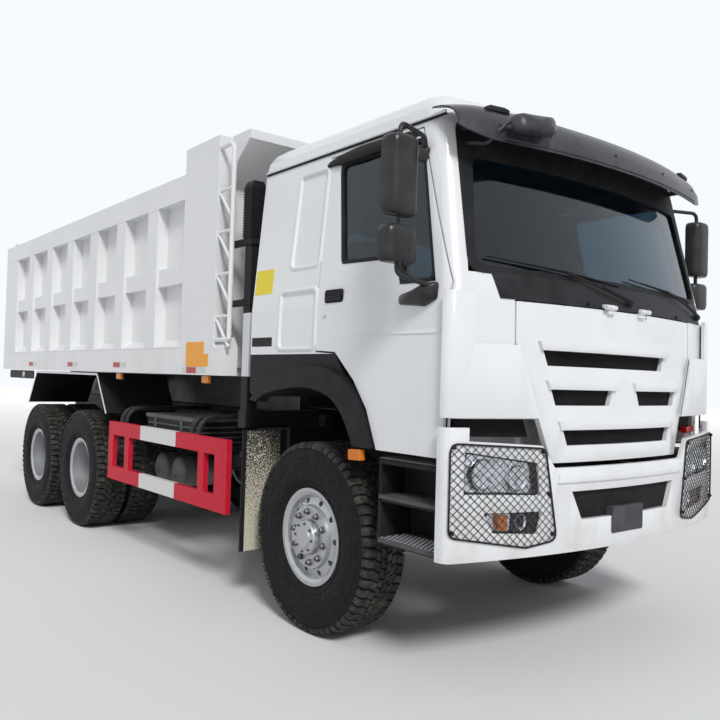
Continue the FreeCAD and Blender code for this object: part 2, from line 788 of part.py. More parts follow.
def hydraulic_tank():
    tank = box((460, 980), (front_axle + 740, front_axle + 960), (1150, 1750), "OilTank")
    foot = box((rail_half_width - 60, 560), (front_axle + 760, front_axle + 860), (rail_top, 1160), "OilTankFoot")
    return node("hydraulic_tank", fuse(tank, foot))


hydraulic_tank()


underrun_half = size("underrun_half", 1000)


def underrun():
    y = rail_rear - 110
    bar = box((-underrun_half, underrun_half), (y, y + 100), (480, 600), "UnderrunBar")
    leg = box((350, 430), (y, y + 60), (560, rail_top - rail_depth), "UnderrunLeg")
    lamp = box((underrun_half - 400, underrun_half - 10), (y + 20, y + 90), (700, 830), "TailLamp")
    stay = box((underrun_half - 250, underrun_half - 190), (y + 20, y + 80), (590, 710), "LampStay")
    side = fuse(leg, lamp, stay)
    return node("rear_underrun", fuse(bar, side, mirrored(side), name="Underrun"))


underrun()


# Cab shell: hollow, with the doors, screen, rear window and front flap opening cut out

outer_form = cab_form(0, "CabOuter")
inner_form = cab_form(cab_wall, "CabInner")
flap_thick = size("flap_thick", 30)
glass_set_in = size("glass_set_in", 12)
glass_thick = size("glass_thick", 8)
flap_form = cab_form(flap_thick, "FlapInner")
glass_outer = cab_form(glass_set_in, "GlassOuter")
glass_inner = cab_form(glass_set_in + glass_thick, "GlassInner")

flap_hinge_y = front_axle - size("flap_hinge_ahead", 1355)
flap_hinge_z = size("flap_hinge_high", 1930)
flap_eye = size("flap_eye", 14)
flap_pin = size("flap_pin", 8)

door_front_low = front_axle - size("door_front_low", 1125)
door_front_belt = front_axle - size("door_front_belt", 1135)
door_rear = front_axle - size("door_rear", 71)
door_top = size("door_top", 2810)


def door_outline(spread):
    """The door's edge as seen from the side, made larger by spread all round."""
    s = spread
    return [(door_front_low - s, cab_floor - 30 - s), (front_axle - 640 + s, cab_floor - 30 - s),
            (front_axle - 550 + s, 1345 - s), (front_axle - 430 + s, 1500 - s), (front_axle - 255 + s, arch_floor + 10 - s),
            (door_rear + s, arch_floor + 20 - s), (door_rear + s, door_top + s),
            (front_axle - 850 - s, door_top + s), (door_front_belt - s, belt_high + 60)]


def window_outline(spread):
    s = spread
    return [(front_axle - 270 + s, 2155 - s), (front_axle - 765 + s, 2138 - s), (front_axle - 785 + s, 1998 - s),
            (front_axle - 1050 - s, 1995 - s), (front_axle - 870 - s, 2760 + s), (front_axle - 165 + s, 2760 + s)]


screen_low = size("screen_low", 2045)
screen_high = size("screen_high", 2690)
screen_low_in = size("screen_low_in", 110)
screen_high_in = size("screen_high_in", 200)


def screen_outline(spread):
    s = spread
    low, high = cab_half - screen_low_in + s, cab_half - screen_high_in + s
    return [(-low, screen_low - s), (low, screen_low - s), (high, screen_high + s), (-high, screen_high + s)]


flap_top = size("flap_top", 1915)
flap_low = size("flap_low", 1095)
flap_shoulder = size("flap_shoulder", 1705)
flap_top_half = size("flap_top_half", 830)
flap_low_half = size("flap_low_half", 590)


def flap_outline(spread):
    """The front panel: wide below the screen, then drawn in to the bumper's mouth."""
    s = spread
    right = [(flap_low_half + s, flap_low - s), (flap_top_half + s, flap_shoulder - s), (flap_top_half + s, flap_top + s)]
    return right + [(-x, z) for x, z in reversed(right)]


RECESS_UPPER = [(-28, 2178), (225, 2178), (249, 2200), (235, 2740), (215, 2760), (-35, 2760), (-50, 2740), (-50, 2200)]
RECESS_LOWER = [(-30, 1680), (315, 1680), (336, 1700), (330, 2012), (310, 2032), (-30, 2032), (-50, 2012), (-50, 1700)]
recess_deep = size("recess_deep", 9)


def at_axle(points):
    """Points given from the front axle, as places on the truck."""
    return [(front_axle + y, z) for y, z in points]


def cab_shell():
    hollow = cut(outer_form, inner_form)
    wall_back = front_axle - 1070
    floor = prism("YZ", [(wall_back - 45, cab_floor), (front_axle - 680, cab_floor), (front_axle - 330, arch_floor),
                         (cab_rear, arch_floor), (cab_rear, arch_floor + 45), (front_axle - 355, arch_floor + 45),
                         (front_axle - 705, cab_floor + 45), (wall_back, cab_floor + 45), (wall_back, 1890),
                         (wall_back - 45, 1890)], -cab_half + 30, cab_half - 30, "Floor")
    below = prism("YZ", [(front_axle - 1200, cab_low - 50), (front_axle - 1200, cab_floor),
                         (front_axle - 680, cab_floor), (front_axle - 330, arch_floor),
                         (cab_rear + 50, arch_floor), (cab_rear + 50, cab_low - 50)],
                  -cab_half - 50, cab_half + 50, "UnderFloor")
    tunnel = box((-470, 470), (wall_back - 10, front_axle - 250), (cab_floor, 1560), "Tunnel")
    tunnel_hole = box((-435, 435), (cab_front - 100, front_axle - 240), (cab_floor - 60, 1525), "TunnelHole")
    door_hole = prism("YZ", door_outline(panel_gap), cab_half - 130, cab_half + 60, "DoorHole")
    screen_hole = prism("XZ", screen_outline(0), cab_front - 100, cab_front + 500, "ScreenHole")
    rear_hole = box((-520, 520), (cab_rear - 100, cab_rear + 50), (2150, 2560), "RearHole")
    flap_hole = prism("XZ", flap_outline(panel_gap), cab_front - 100, cab_front + 200, "FlapHole")
    skin = cut(outer_form, cab_form(recess_deep, "RecessFloor"))
    recesses = [common(skin, prism("YZ", at_axle(points), cab_half - 130, cab_half + 60, "RecessRegion"))
                for points in (RECESS_UPPER, RECESS_LOWER)]
    front_cut = prism("XZ", [(-1300, cab_low - 60), (1300, cab_low - 60), (1300, 1330), (-1300, 1330)],
                      cab_front - 100, wall_back - 45, "FrontCut")
    lug = prism("YZ", [(tilt_y - 20, tilt_z - 22), (tilt_y + 20, tilt_z + 22), (wall_back - 30, cab_floor + 90),
                       (wall_back - 30, cab_floor + 10)], tilt_x - 10, tilt_x + 25, "TiltLug")
    lug_eye = cylinder("X", (tilt_y, tilt_z), tilt_eye, tilt_x - 10, tilt_x + 25, "LugEye")
    lug_bore = cylinder("X", (tilt_y, tilt_z), tilt_pin + pin_gap, tilt_x - 20, tilt_x + 40, "LugBore")
    hanger = cut(fuse(lug, lug_eye), lug_bore)
    solid = fuse(cut(hollow, below), floor, cut(tunnel, tunnel_hole), name="CabJoined")
    under = box((-435, 435), (wall_back - 100, front_axle - 240), (cab_floor - 60, 1525), "UnderTunnel")
    panels = cut(solid, under, door_hole, mirrored(door_hole), screen_hole, rear_hole, flap_hole, front_cut,
                 *recesses, *[mirrored(recess) for recess in recesses])
    lug = fuse(cylinder("X", (flap_hinge_y, flap_hinge_z), flap_eye, 185, 215, "FlapLug"),
               box((185, 215), (flap_hinge_y, flap_hinge_y + 30), (flap_hinge_z - 4, flap_hinge_z + flap_eye), "FlapLugRoot"),
               cylinder("X", (flap_hinge_y, flap_hinge_z), flap_pin, 115, 215, "FlapPin"))
    return node("cab_shell", fuse(panels, hanger, mirrored(hanger), lug, mirrored(lug), name="CabShell"))


cab_shell()


def cab_glass():
    layer = cut(glass_outer, glass_inner)
    screen = common(layer, prism("XZ", screen_outline(-seat_gap), cab_front - 100, cab_front + 500, "Screen"))
    rear = box((-520 + seat_gap, 520 - seat_gap), (cab_rear - 20, cab_rear - 12), (2150 + seat_gap, 2560 - seat_gap), "RearGlass")
    return node("cab_glass", group(screen, rear))


cab_glass()


SLOTS = ((1600, 1678, -655, 440), (1398, 1480, -600, -115), (1398, 1480, 115, 600), (1192, 1272, -515, 515))
fin_out = size("fin_out", 16)
fin_high = size("fin_high", 46)
flap_return = size("flap_return", 75)


def cab_band(low, high, outset, thick, name):
    """A strip of sheet that follows the cab's front, outset in front of it."""
    outer = plan_block(cab_front + 6, cab_half, cab_corner, front_axle - 1100, low, high, -(outset + thick), name)
    inner = plan_block(cab_front + 6, cab_half, cab_corner, front_axle - 1000, low - 10, high + 10, -outset, name)
    return cut(outer, inner)


def front_flap():
    layer = cut(outer_form, flap_form)
    whole = common(layer, prism("XZ", flap_outline(0), cab_front - 100, cab_front + 200, "FlapPanel"))
    behind = box((-flap_low_half - 50, flap_low_half + 50), (cab_front + flap_return, cab_front + 250),
                 (cab_low - 20, cab_low + flap_thick + 20), "BehindFlange")
    panel = cut(whole, behind)
    slots = []
    fins = []
    for low, high, left, right in SLOTS:
        lean = 30
        slots.append(prism("XZ", [(left, high), (left + lean, low), (right - lean, low), (right, high)],
                           cab_front - 100, cab_front + 200, "Slot"))
        fin = prism("XZ", [(left - 20, high), (left - 40, high + fin_high), (right + 40, high + fin_high),
                           (right + 20, high)], cab_front - 100, cab_front + 200, "FinRegion")
        fins.append(common(cab_band(high, high + fin_high, -8, fin_out + 8, "Fin"), fin))
    eye = cylinder("X", (flap_hinge_y, flap_hinge_z), flap_eye, 120, 180, "FlapEye")
    strap = box((120, 180), (flap_hinge_y + 3, flap_hinge_y + 25), (flap_hinge_z - 35, flap_hinge_z - 8), "FlapStrap")
    bore = cylinder("X", (flap_hinge_y, flap_hinge_z), flap_pin + pin_gap, 110, 190, "FlapBore")
    hinge = cut(fuse(eye, strap), bore)
    return node("front_flap", fuse(cut(panel, *slots), *fins, hinge, mirrored(hinge), name="FrontFlap"))


front_flap()


corner_low = size("corner_low", 1335)
corner_top = size("corner_top", 1940)
corner_wing = cab_half - size("corner_wing_in", 105)
CORNER_SHARE = 0.41


def corner_panels():
    outer = plan_block(cab_front - 22, cab_half + 35, 60, front_axle - 1143, corner_low, corner_top, 0)
    inner = plan_block(cab_front - 22, cab_half + 35, 60, front_axle - 1000, corner_low - 10, corner_top + 10, 20)
    shell = cut(outer, inner)
    low_x, shoulder_x = (x for x, z in flap_outline(panel_gap)[:2])
    slant = low_x + (shoulder_x - low_x) * CORNER_SHARE
    region = prism("XZ", [(cab_half + 100, corner_low), (slant, corner_low), (shoulder_x, flap_shoulder - panel_gap),
                          (corner_wing, flap_shoulder - panel_gap), (corner_wing, corner_top),
                          (cab_half + 100, corner_top)], cab_front - 100, front_axle - 1100, "CornerRegion")
    foot = cut(box((cab_half - 50, cab_half + 25), (front_axle - 1165, front_axle - 1146), (1400, 1900), "CornerFoot"),
               cab_form(-seat_gap, "CornerClear"))
    return node("corner_panels", both_sides(fuse(common(shell, region), foot)))


corner_panels()


FLARE_OUTER = [(-615, 1140), (-530, 1335), (-415, 1478), (-235, 1557), (0, 1572), (310, 1522), (520, 1420), (610, 1350)]
FLARE_INNER = [(540, 1340), (480, 1372), (370, 1407), (30, 1448), (-240, 1405), (-385, 1295), (-480, 1140)]


def eased(points, steps=3):
    """More points along an open line, on a curve through the given ones."""
    ends = [points[0]] + list(points) + [points[-1]]
    route = [points[0]]
    for before, start, stop, after in zip(ends, ends[1:], ends[2:], ends[3:]):
        for k in range(1, steps + 1):
            t = k / steps
            route.append(tuple(round(0.5 * (2 * b + (c - a) * t + (2 * a - 5 * b + 4 * c - d) * t ** 2
                                            + (3 * b - a - 3 * c + d) * t ** 3), 1)
                               for a, b, c, d in zip(before, start, stop, after)))
    return route


def wheel_arches():
    flare = prism("YZ", at_axle(eased(FLARE_OUTER) + eased(FLARE_INNER)), cab_half - 50, cab_half + 35, "Flare")
    opening = prism("YZ", at_axle([(700, 1000), (700, 1372)] + eased(FLARE_INNER[1:]) + [(-480, 1000)]),
                    cab_half - 500, cab_half + 50, "ArchOpening")
    roof = prism("YZ", at_axle([(470, 1010), (470, 1398), (365, 1430), (30, 1472), (-250, 1428), (-402, 1312),
                                (-502, 1150), (-502, 1010)]), cab_half - 480, cab_half - 30, "ArchRoof")
    below = prism("YZ", at_axle([(700, 1000), (700, 1140), (-700, 1140), (-700, 1000)]),
                  cab_half - 500, cab_half + 50, "ArchBelow")
    panel = prism("YZ", at_axle([(668, 1400), (590, 1352), (500, 1385), (300, 1490), (0, 1535), (-225, 1525), (-370, 1470)])
                  + [(front_axle - 262, arch_floor - seat_gap), (front_axle + 668, arch_floor - seat_gap)],
                  cab_half - 60, cab_half, "ArchPanel")
    liner = cut(roof, opening, below)
    return node("wheel_arches", both_sides(fuse(flare, liner, panel)))


wheel_arches()


visor_low = size("visor_low", 2695)
visor_wrap = size("visor_wrap", 1130)
visor_corner = size("visor_corner", 120)
VISOR_LEVELS = ((0, 14, 44), (70, 22, 44), (135, 52, 38), (180, 96, 24), (208, 150, 2))


def visor_form(inset, name):
    inset = as_size(inset)
    body = doc.addObject("PartDesign::Body", name)
    rear = front_axle - visor_wrap + inset * 3
    plans = [plan_sketch(body, cab_front + back, cab_half + out, visor_corner, rear, visor_low + rise - inset, inset)
             for rise, back, out in VISOR_LEVELS]
    loft = body.newObject("PartDesign::AdditiveLoft", name + "Loft")
    loft.Profile = plans[0]
    loft.Sections = plans[1:]
    loft.Ruled = True
    body.Tip = loft
    return body


def sun_visor():
    low, high = visor_low + 100, visor_low + 140
    roots = []
    brackets = []
    for x in (-1010, -350, 310, 970):
        outer_x = max(abs(x), abs(x + 40))
        sunk = cab_bow - root_of(cab_bow * cab_bow - as_size(outer_x) * outer_x)
        roots.append(box((x, x + 40), (cab_front - 50, cab_front + 130 + sunk), (low, high), "VisorRoot"))
        brackets.append(box((x + 5, x + 35), (cab_front + 100 + sunk, cab_front + 280 + sunk), (low + 5, high - 5),
                            "VisorBracket"))
    shell = cut(visor_form(0, "VisorOuter"), cut(visor_form(15, "VisorInner"), *roots))
    stays = cut(fuse(*brackets), cab_form(-seat_gap, "VisorClear"))
    return node("sun_visor", fuse(shell, stays))


sun_visor()


def seats():
    one = fuse(box((280, 780), (front_axle - 330, front_axle + 150), (arch_floor + 180, arch_floor + 330), "Cushion"),
               box((280, 780), (front_axle + 100, front_axle + 230), (arch_floor + 300, arch_floor + 1000), "Backrest"),
               box((330, 730), (front_axle - 280, front_axle + 100), (arch_floor + 45, arch_floor + 190), "SeatBase"))
    return node("seats", both_sides(one))


seats()


def dashboard():
    dash_front = front_axle - 1070 + seat_gap
    desk = box((-1060, 1060), (dash_front, front_axle - 830), (1600, 2000), "Dash")
    wheel = doc.addObject("Part::Torus", "SteeringWheel")
    wheel.Radius1 = 225
    wheel.Radius2 = 16
    place(wheel, 530, front_axle - 640, 2080, (1, 0, 0), 30)
    column = cylinder("Z", (530, front_axle - 680), 40, 1900, 2080, "Column")
    spoke = box((530 - 225, 530 + 225), (front_axle - 680, front_axle - 620), (2060, 2080), "Spoke")
    leg = box((-1060, -1020), (dash_front, front_axle - 900), (cab_floor + 46, 1610), "DashLeg")
    return node("dashboard", fuse(desk, leg, mirrored(leg), wheel, column, spoke))


dashboard()


mirror_x = cab_half + size("mirror_out", 205)
mirror_y = front_axle - size("mirror_ahead", 1000)
MIRROR_BULGE = ((0, 0), (0, 0.42), (0.05, 0.66), (0.16, 0.86), (0.32, 0.97), (0.5, 1))


def mirror_head(x_low, x_high, deep, z_low, z_high):
    """A mirror housing: flat glass side to the rear, bulged shell to the front."""
    rear = mirror_y + 35
    shell = [(x_low + (x_high - x_low) * across, rear - deep * ahead) for across, ahead in MIRROR_BULGE]
    shell += [(x_high - (x_high - x_low) * across, rear - deep * ahead) for across, ahead in reversed(MIRROR_BULGE[:-1])]
    return prism("XY", shell, z_low, z_high, "MirrorHead")


def doors():
    layer = cut(outer_form, inner_form)
    body_clear = cab_form(-seat_gap, "CabClear")
    for side, word in ((1, "left"), (-1, "right")):
        whole = prism("YZ", door_outline(0), cab_half - 130, cab_half + 60, "DoorOutline")
        hole = prism("YZ", window_outline(0), cab_half - 200, cab_half + 60, "WindowHole")
        skirt = prism("YZ", [(door_front_low, cab_floor - 30), (front_axle - 640, cab_floor - 30),
                             (front_axle - 640, cab_floor + 20), (door_front_low, cab_floor + 20)],
                      cab_half - cab_wall, cab_half, "DoorSkirt")
        leaf = cut(fuse(common(layer, whole), skirt), hole)
        pane = common(cut(glass_outer, glass_inner),
                      prism("YZ", window_outline(-seat_gap), cab_half - 200, cab_half + 60, "Pane"))
        head = mirror_head(mirror_x - 92, mirror_x + 92, 100, 2290, 2668)
        lower = mirror_head(mirror_x - 102, mirror_x + 102, 90, 2062, 2238)
        arm = tube([(cab_half - 140, front_axle - 860, 2640), (cab_half - 20, front_axle - 930, 2735),
                    (mirror_x, mirror_y, 2735), (mirror_x, mirror_y, 1985), (cab_half - 40, front_axle - 1080, 1985)],
                   14, 30, "MirrorArm")
        mirror = cut(fuse(head, lower, arm), body_clear)
        for name, thing in (("door_", leaf), ("door_glass_", pane), ("mirror_", mirror)):
            node(name + word, thing if side > 0 else mirrored(thing))


doors()


# Knuckles, wheels

def knuckles():
    up = cylinder("Z", (kingpin_x, front_axle), kingpin_radius, tyre_radius + 55 + pin_gap, tyre_radius + 105, "UpperLug")
    down = cylinder("Z", (kingpin_x, front_axle), kingpin_radius, tyre_radius - 105, tyre_radius - 55 - pin_gap, "LowerLug")
    plate = box((kingpin_x + kingpin_radius + 8, kingpin_x + kingpin_radius + 28), (front_axle - 70, front_axle + 70),
                (tyre_radius - 105, tyre_radius + 105), "KnucklePlate")
    links = [box((kingpin_x, kingpin_x + kingpin_radius + 10), (front_axle - 35, front_axle + 35), span, "KnuckleLink")
             for span in ((tyre_radius + 60, tyre_radius + 105), (tyre_radius - 105, tyre_radius - 60))]
    spindle = cylinder("X", (front_axle, tyre_radius), spindle_radius, kingpin_x + kingpin_radius + 20, 1150, "FrontSpindle")
    low_span = (tyre_radius - 105, tyre_radius - 65)
    reach = box((kingpin_x - 100, kingpin_x), (front_axle - 30, front_axle + 30), low_span, "ArmRoot")
    arm = box((kingpin_x - 100, kingpin_x - 80), (front_axle, front_axle + 260), low_span, "SteerArm")
    piece = fuse(up, down, plate, *links, spindle, reach, arm)
    node("knuckle_left", piece)
    node("knuckle_right", mirrored(piece))


knuckles()


def tyre_profile(middle):
    """Half-section of one tyre: beads between the rim flanges, bulging walls, square shoulders."""
    half = tyre_width / 2
    bead = rim_width / 2 - seat_gap
    wall_low = rim_flange_radius + tyre_lip
    wall_high = tyre_radius - tyre_shoulder
    rise = [(bead, rim_seat_radius), (bead, rim_flange_radius + seat_gap), (half - tyre_lip, wall_low),
            (half, wall_low + tyre_lip * 2), (half, wall_high), (half - tyre_shoulder / 3, tyre_radius - tyre_shoulder / 3),
            (half - tyre_shoulder, tyre_radius)]
    return [(middle + x, r) for x, r in rise] + [(middle - x, r) for x, r in reversed(rise)]


def seat_wheel(thing, along, side):
    place(thing, 0, along, tyre_radius)
    return thing if side > 0 else mirrored(thing)


def ring_of_holes(along, spread, radius, low, high):
    """Round holes through a disc, spaced evenly about the axle."""
    drills = []
    for k in range(HAND_HOLES):
        turn = 2 * math.pi * k / HAND_HOLES
        drills.append(cylinder("X", (along + spread * math.cos(turn), tyre_radius + spread * math.sin(turn)),
                               radius, low, high, "HandHole"))
    return drills


def front_wheels():
    middle = front_track / 2
    half = rim_width / 2
    bore = spindle_radius + pin_gap
    inner = rim_seat_radius - seat_gap
    well = inner - rim_thick
    disc = middle + half - 35
    face = disc + 50
    for side, word in ((1, "left"), (-1, "right")):
        tyre = turned(tyre_profile(middle), "FrontTyre")
        node("tyre_front_" + word, seat_wheel(tyre, front_axle, side))
        tip = half + rim_thick
        rim = turned([(middle - half, well), (middle - tip, inner + 8), (middle - tip, rim_flange_radius),
                      (middle - half, rim_flange_radius), (middle - half, inner), (middle + half, inner),
                      (middle + half, rim_flange_radius), (middle + tip, rim_flange_radius), (middle + tip, inner + 8),
                      (middle + half, well), (disc + 8, well - 8), (disc + 24, 190), (face, 182), (face, 110),
                      (face, bore), (middle - 10, bore), (middle - 10, drum_radius), (disc - 20, drum_radius),
                      (disc - 12, 225), (disc - 12, well)], "FrontRim")
        cap = turned([(middle + 121, 0), (middle + 121, 95), (face + 18, 95), (face + 34, 80), (face + 34, 0)], "HubCap")
        joined = fuse(place(rim, 0, front_axle, tyre_radius), place(cap, 0, front_axle, tyre_radius))
        pierced = cut(joined, *ring_of_holes(front_axle, as_size(213), hand_hole, disc - 30, face))
        node("rim_front_" + word, pierced if side > 0 else mirrored(pierced))


front_wheels()


def rear_wheels():
    centre = rear_track / 2
    inner_middle = centre - dual_spacing / 2
    outer_middle = centre + dual_spacing / 2
    half = rim_width / 2
    inner = rim_seat_radius - seat_gap
    well = inner - rim_thick
    bore = spindle_radius + pin_gap
    tip = half + rim_thick
    for along, place_word in ((mid_axle, "mid"), (last_axle, "rear")):
        for side, word in ((1, "left"), (-1, "right")):
            pair = [turned(tyre_profile(m), "TwinTyre") for m in (inner_middle, outer_middle)]
            node("tyres_%s_%s" % (place_word, word), seat_wheel(group(*pair), along, side))
            dishes = []
            for middle, way in ((inner_middle, -1), (outer_middle, 1)):
                near, far = middle - way * half, middle + way * half
                dishes.append(turned([
                    (near, well), (near - way * rim_thick, inner + 8), (near - way * rim_thick, rim_flange_radius),
                    (near, rim_flange_radius), (near, inner), (far, inner), (far, rim_flange_radius),
                    (far + way * rim_thick, rim_flange_radius), (far + way * rim_thick, inner + 8), (far, well),
                    (near + way * 30, well), (centre + way * 16, 182), (centre + way * 16, 110),
                    (centre, 110), (centre, 190)], "Dish"))
            hub = turned([(centre - 230, bore), (centre - 230, drum_radius), (centre - 100, drum_radius),
                          (centre - 100, 150), (centre + 30, 150), (centre + 40, 115), (centre + 150, 105),
                          (centre + 170, 80), (centre + 170, bore)], "DriveHub")
            seated = [place(thing, 0, along, tyre_radius) for thing in (*dishes, hub)]
            holes = ring_of_holes(along, as_size(215), hand_hole, centre - 60, centre + 60)
            pierced = cut(fuse(*seated), *holes)
            node("rims_%s_%s" % (place_word, word), pierced if side > 0 else mirrored(pierced))


rear_wheels()


# Body: floor with bearers, sides, front wall with canopy, ladder, tailgate

def bed_floor():
    plate = box((-bed_inner, bed_inner), (headboard_y + headboard_thick + seat_gap, bed_rear),
                (floor_high - floor_thick, floor_high), "FloorPlate")
    pieces = [plate]
    for k in range(12):
        y = headboard_y + 40 + 460 * k
        pieces.append(box((-bed_inner, bed_inner), (y, y + 90), (sill_low, floor_high - floor_thick), "FloorRib"))
    bearer_low = rail_top + subframe_high + bearer_gap
    lip = rail_half_width - rail_flange
    bearer = box((lip, rail_half_width), (headboard_y, bed_rear - 60), (bearer_low, floor_high - floor_thick), "BedBearer")
    notch = cylinder("X", (tip_y, tip_z), tip_pin + 36, lip - 10, rail_half_width + 10, "ShaftNotch")
    ear = prism("YZ", [(tip_y - 130, floor_high - floor_thick), (tip_y - 50, tip_z - 60), (tip_y + 50, tip_z - 60),
                       (tip_y + 130, floor_high - floor_thick)], rail_half_width + 6, rail_half_width + 46, "TipEar")
    bore = cylinder("X", (tip_y, tip_z), tip_pin + pin_gap, rail_half_width, rail_half_width + 60, "TipBore")
    side = fuse(cut(bearer, notch), cut(ear, bore))
    return node("bed_floor", fuse(*pieces, side, mirrored(side), name="BedFloor"))


bed_floor()


def bed_sides():
    wall = box((bed_inner, bed_inner + bed_plate), (bed_front, bed_rear), (floor_high - 100, bed_top), "SideWall")
    sill = prism("XZ", [(bed_inner, sill_low), (bed_half, sill_low), (bed_half, sill_low + sill_high),
                        (bed_inner + bed_plate, sill_low + sill_high + sill_slope), (bed_inner, sill_low + sill_high)],
                 bed_front - 135, bed_rear, "Sill")
    rail = box((bed_inner, bed_half), (bed_front, bed_rear), (top_rail_low, bed_top), "TopRail")
    belt = box((bed_inner, bed_half - 20), (bed_front, bed_rear), (mid_rail_low, mid_rail_low + mid_rail_high), "MidRail")
    post = box((bed_inner, bed_half), (bed_front, bed_front + pocket_first), (sill_low, canopy_top - 10), "FrontPost")
    pieces = [wall, sill, rail, belt, post]
    for k in range(POCKETS):
        y = bed_front + pocket_first + pocket_width + pocket_pitch * k
        last = k == POCKETS - 1
        end = bed_rear if last else y + pocket_pitch - pocket_width
        pieces.append(box((bed_inner, bed_half), (y, end), (sill_low, bed_top), "Rib"))
    bracket = box((1121, 1165), (bed_rear - 60, bed_rear - 2), (bed_top - 5, bed_top + 75), "GateBracket")
    pin = cylinder("X", (gate_y, gate_z), gate_pin, 1055, 1130, "GatePin")
    return node("bed_sides", both_sides(fuse(*pieces, bracket, pin)))


bed_sides()


def bed_front_wall():
    wall = box((-bed_inner, bed_inner), (headboard_y, headboard_y + headboard_thick),
               (floor_high - floor_thick + seat_gap, canopy_top), "Headboard")
    roof = box((-bed_inner, bed_inner), (bed_front, headboard_y), (canopy_top - canopy_plate, canopy_top), "HoodRoof")
    lip = canopy_top - 70
    hood_low = canopy_top - 260
    hood = prism("YZ", [(bed_front, hood_low), (bed_front, canopy_top), (bed_front - 255, canopy_top),
                        (bed_front - 255, lip), (bed_front - 235, lip)],
                 -bed_inner - 20, bed_inner + 20, "Hood")
    slope = prism("YZ", [(headboard_y, hood_low - 90), (headboard_y, canopy_top - 10), (bed_front, canopy_top - 10),
                         (bed_front, hood_low)], -bed_inner, bed_inner, "HoodSlope")
    ears = [prism("YZ", [(headboard_y, hoist_eye_z - 160), (headboard_y, hoist_eye_z + 120),
                         (hoist_y - 50, hoist_eye_z + 50), (hoist_y - 50, hoist_eye_z - 50)], x, x + 30, "EyeEar")
            for x in (66, -96)]
    return node("bed_front", fuse(wall, roof, hood, slope, *ears))


bed_front_wall()


ladder_first = size("ladder_first", 1912)
ladder_pitch = size("ladder_pitch", 296)
ladder_brace = size("ladder_brace", 215)
LADDER_RUNGS = 4


def ladder():
    x = 17 - bed_half
    y = bed_front - 190
    foot_high = sill_low + sill_high + 50
    rail = tube([(x, y, foot_high), (x, y, bed_top + 95), (x, bed_front + 10, bed_top + 95)], 17, 60, "LadderRail")
    foot = tube([(x, y, foot_high), (x, bed_front + 10, foot_high)], 16, 0, "LadderFoot")
    rungs = [foot]
    for k in range(LADDER_RUNGS):
        z = ladder_first + ladder_pitch * k
        rungs.append(tube([(x, y, z), (x, bed_front + 10, z)], 12, 0, "Rung"))
        rungs.append(tube([(x, bed_front + 10, z), (x, y, z - ladder_brace)], 12, 0, "RungBrace"))
    post = box((-bed_half - 50, -bed_inner), (bed_front - seat_gap, bed_front + 60), (sill_low, canopy_top), "PostClear")
    return node("ladder", cut(fuse(rail, *rungs), post))


ladder()


def tailgate():
    y0 = bed_rear + 6
    y1 = last_axle + rear_overhang
    low = floor_high - 20
    top = bed_top - 55
    plate = box((5 - bed_half, bed_half - 5), (y0, y0 + 16), (low, top), "GatePlate")
    ribs = [box((x, x + 80), (y0, y1), (low, top), "GateRib") for x in (10 - bed_half, -660, -40, 580, bed_half - 90)]
    bars = [box((10 - bed_half, bed_half - 10), (y0, y1 - 5), (z, z + 90), "GateBar") for z in (low, 2200, top - 90)]
    arms = []
    for side in (1, -1):
        x = 1060 if side > 0 else -1110
        arms.append(prism("YZ", [(gate_y - 15, gate_z), (gate_y, gate_z + 40), (y1, gate_z - 50), (y1, top - 90),
                                 (y0, top - 90), (y0, gate_z - 50), (gate_y, gate_z - 20)], x, x + 50, "GateArm"))
        arms.append(cylinder("X", (gate_y, gate_z), gate_pin * 2, x, x + 50, "GateEye"))
    bores = [cylinder("X", (gate_y, gate_z), gate_pin + pin_gap, x, x + 70, "GateBore") for x in (1050, -1120)]
    return node("tailgate", cut(fuse(plate, *ribs, *bars, *arms), *bores, name="Tailgate"))


tailgate()


def hoist():
    top = hoist_eye_z - 70
    foot = cylinder("X", (hoist_y, hoist_foot_z), 50, -hoist_radius - 15 + pin_gap, hoist_radius + 15 - pin_gap, "HoistFoot")
    radius = hoist_radius
    for k, name in enumerate(HOIST_NAMES):
        low = hoist_foot_z + 40 + 12 * k
        high = top - 70 + 15 * k
        bar = cylinder("Z", (0, hoist_y), radius, low, high, "HoistTube")
        if name != HOIST_NAMES[-1]:
            bore = cylinder("Z", (0, hoist_y), radius - hoist_wall, low + 10, high + 10, "HoistBore")
            bar = cut(bar, bore)
        if k == 0:
            bar = fuse(foot, bar)
        if name == HOIST_NAMES[-1]:
            bar = fuse(bar, cylinder("X", (hoist_y, hoist_eye_z), 48, -60, 60, "HoistEye"),
                       cylinder("Z", (0, hoist_y), 35, high - 5, hoist_eye_z, "HoistNeck"))
        node(name, bar)
        radius = radius - hoist_wall - hoist_run_gap


hoist()

doc.recompute()


def faults():
    found = [thing.Name for thing in doc.Objects if "Invalid" in thing.State or "Error" in thing.State]
    for name, thing in nodes.items():
        if thing.Shape.isNull() or not thing.Shape.isValid():
            found.append(name)
    return found


bad = faults()
if bad:
    raise SystemExit("faulty pieces: " + ", ".join(bad))
os.makedirs("parts", exist_ok=True)
for name, thing in nodes.items():
    thing.Shape.exportStep("parts/" + name + ".step")
print(len(nodes), "nodes")
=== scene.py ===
import json
import math

import bmesh
import bpy
from mathutils import Matrix, Vector

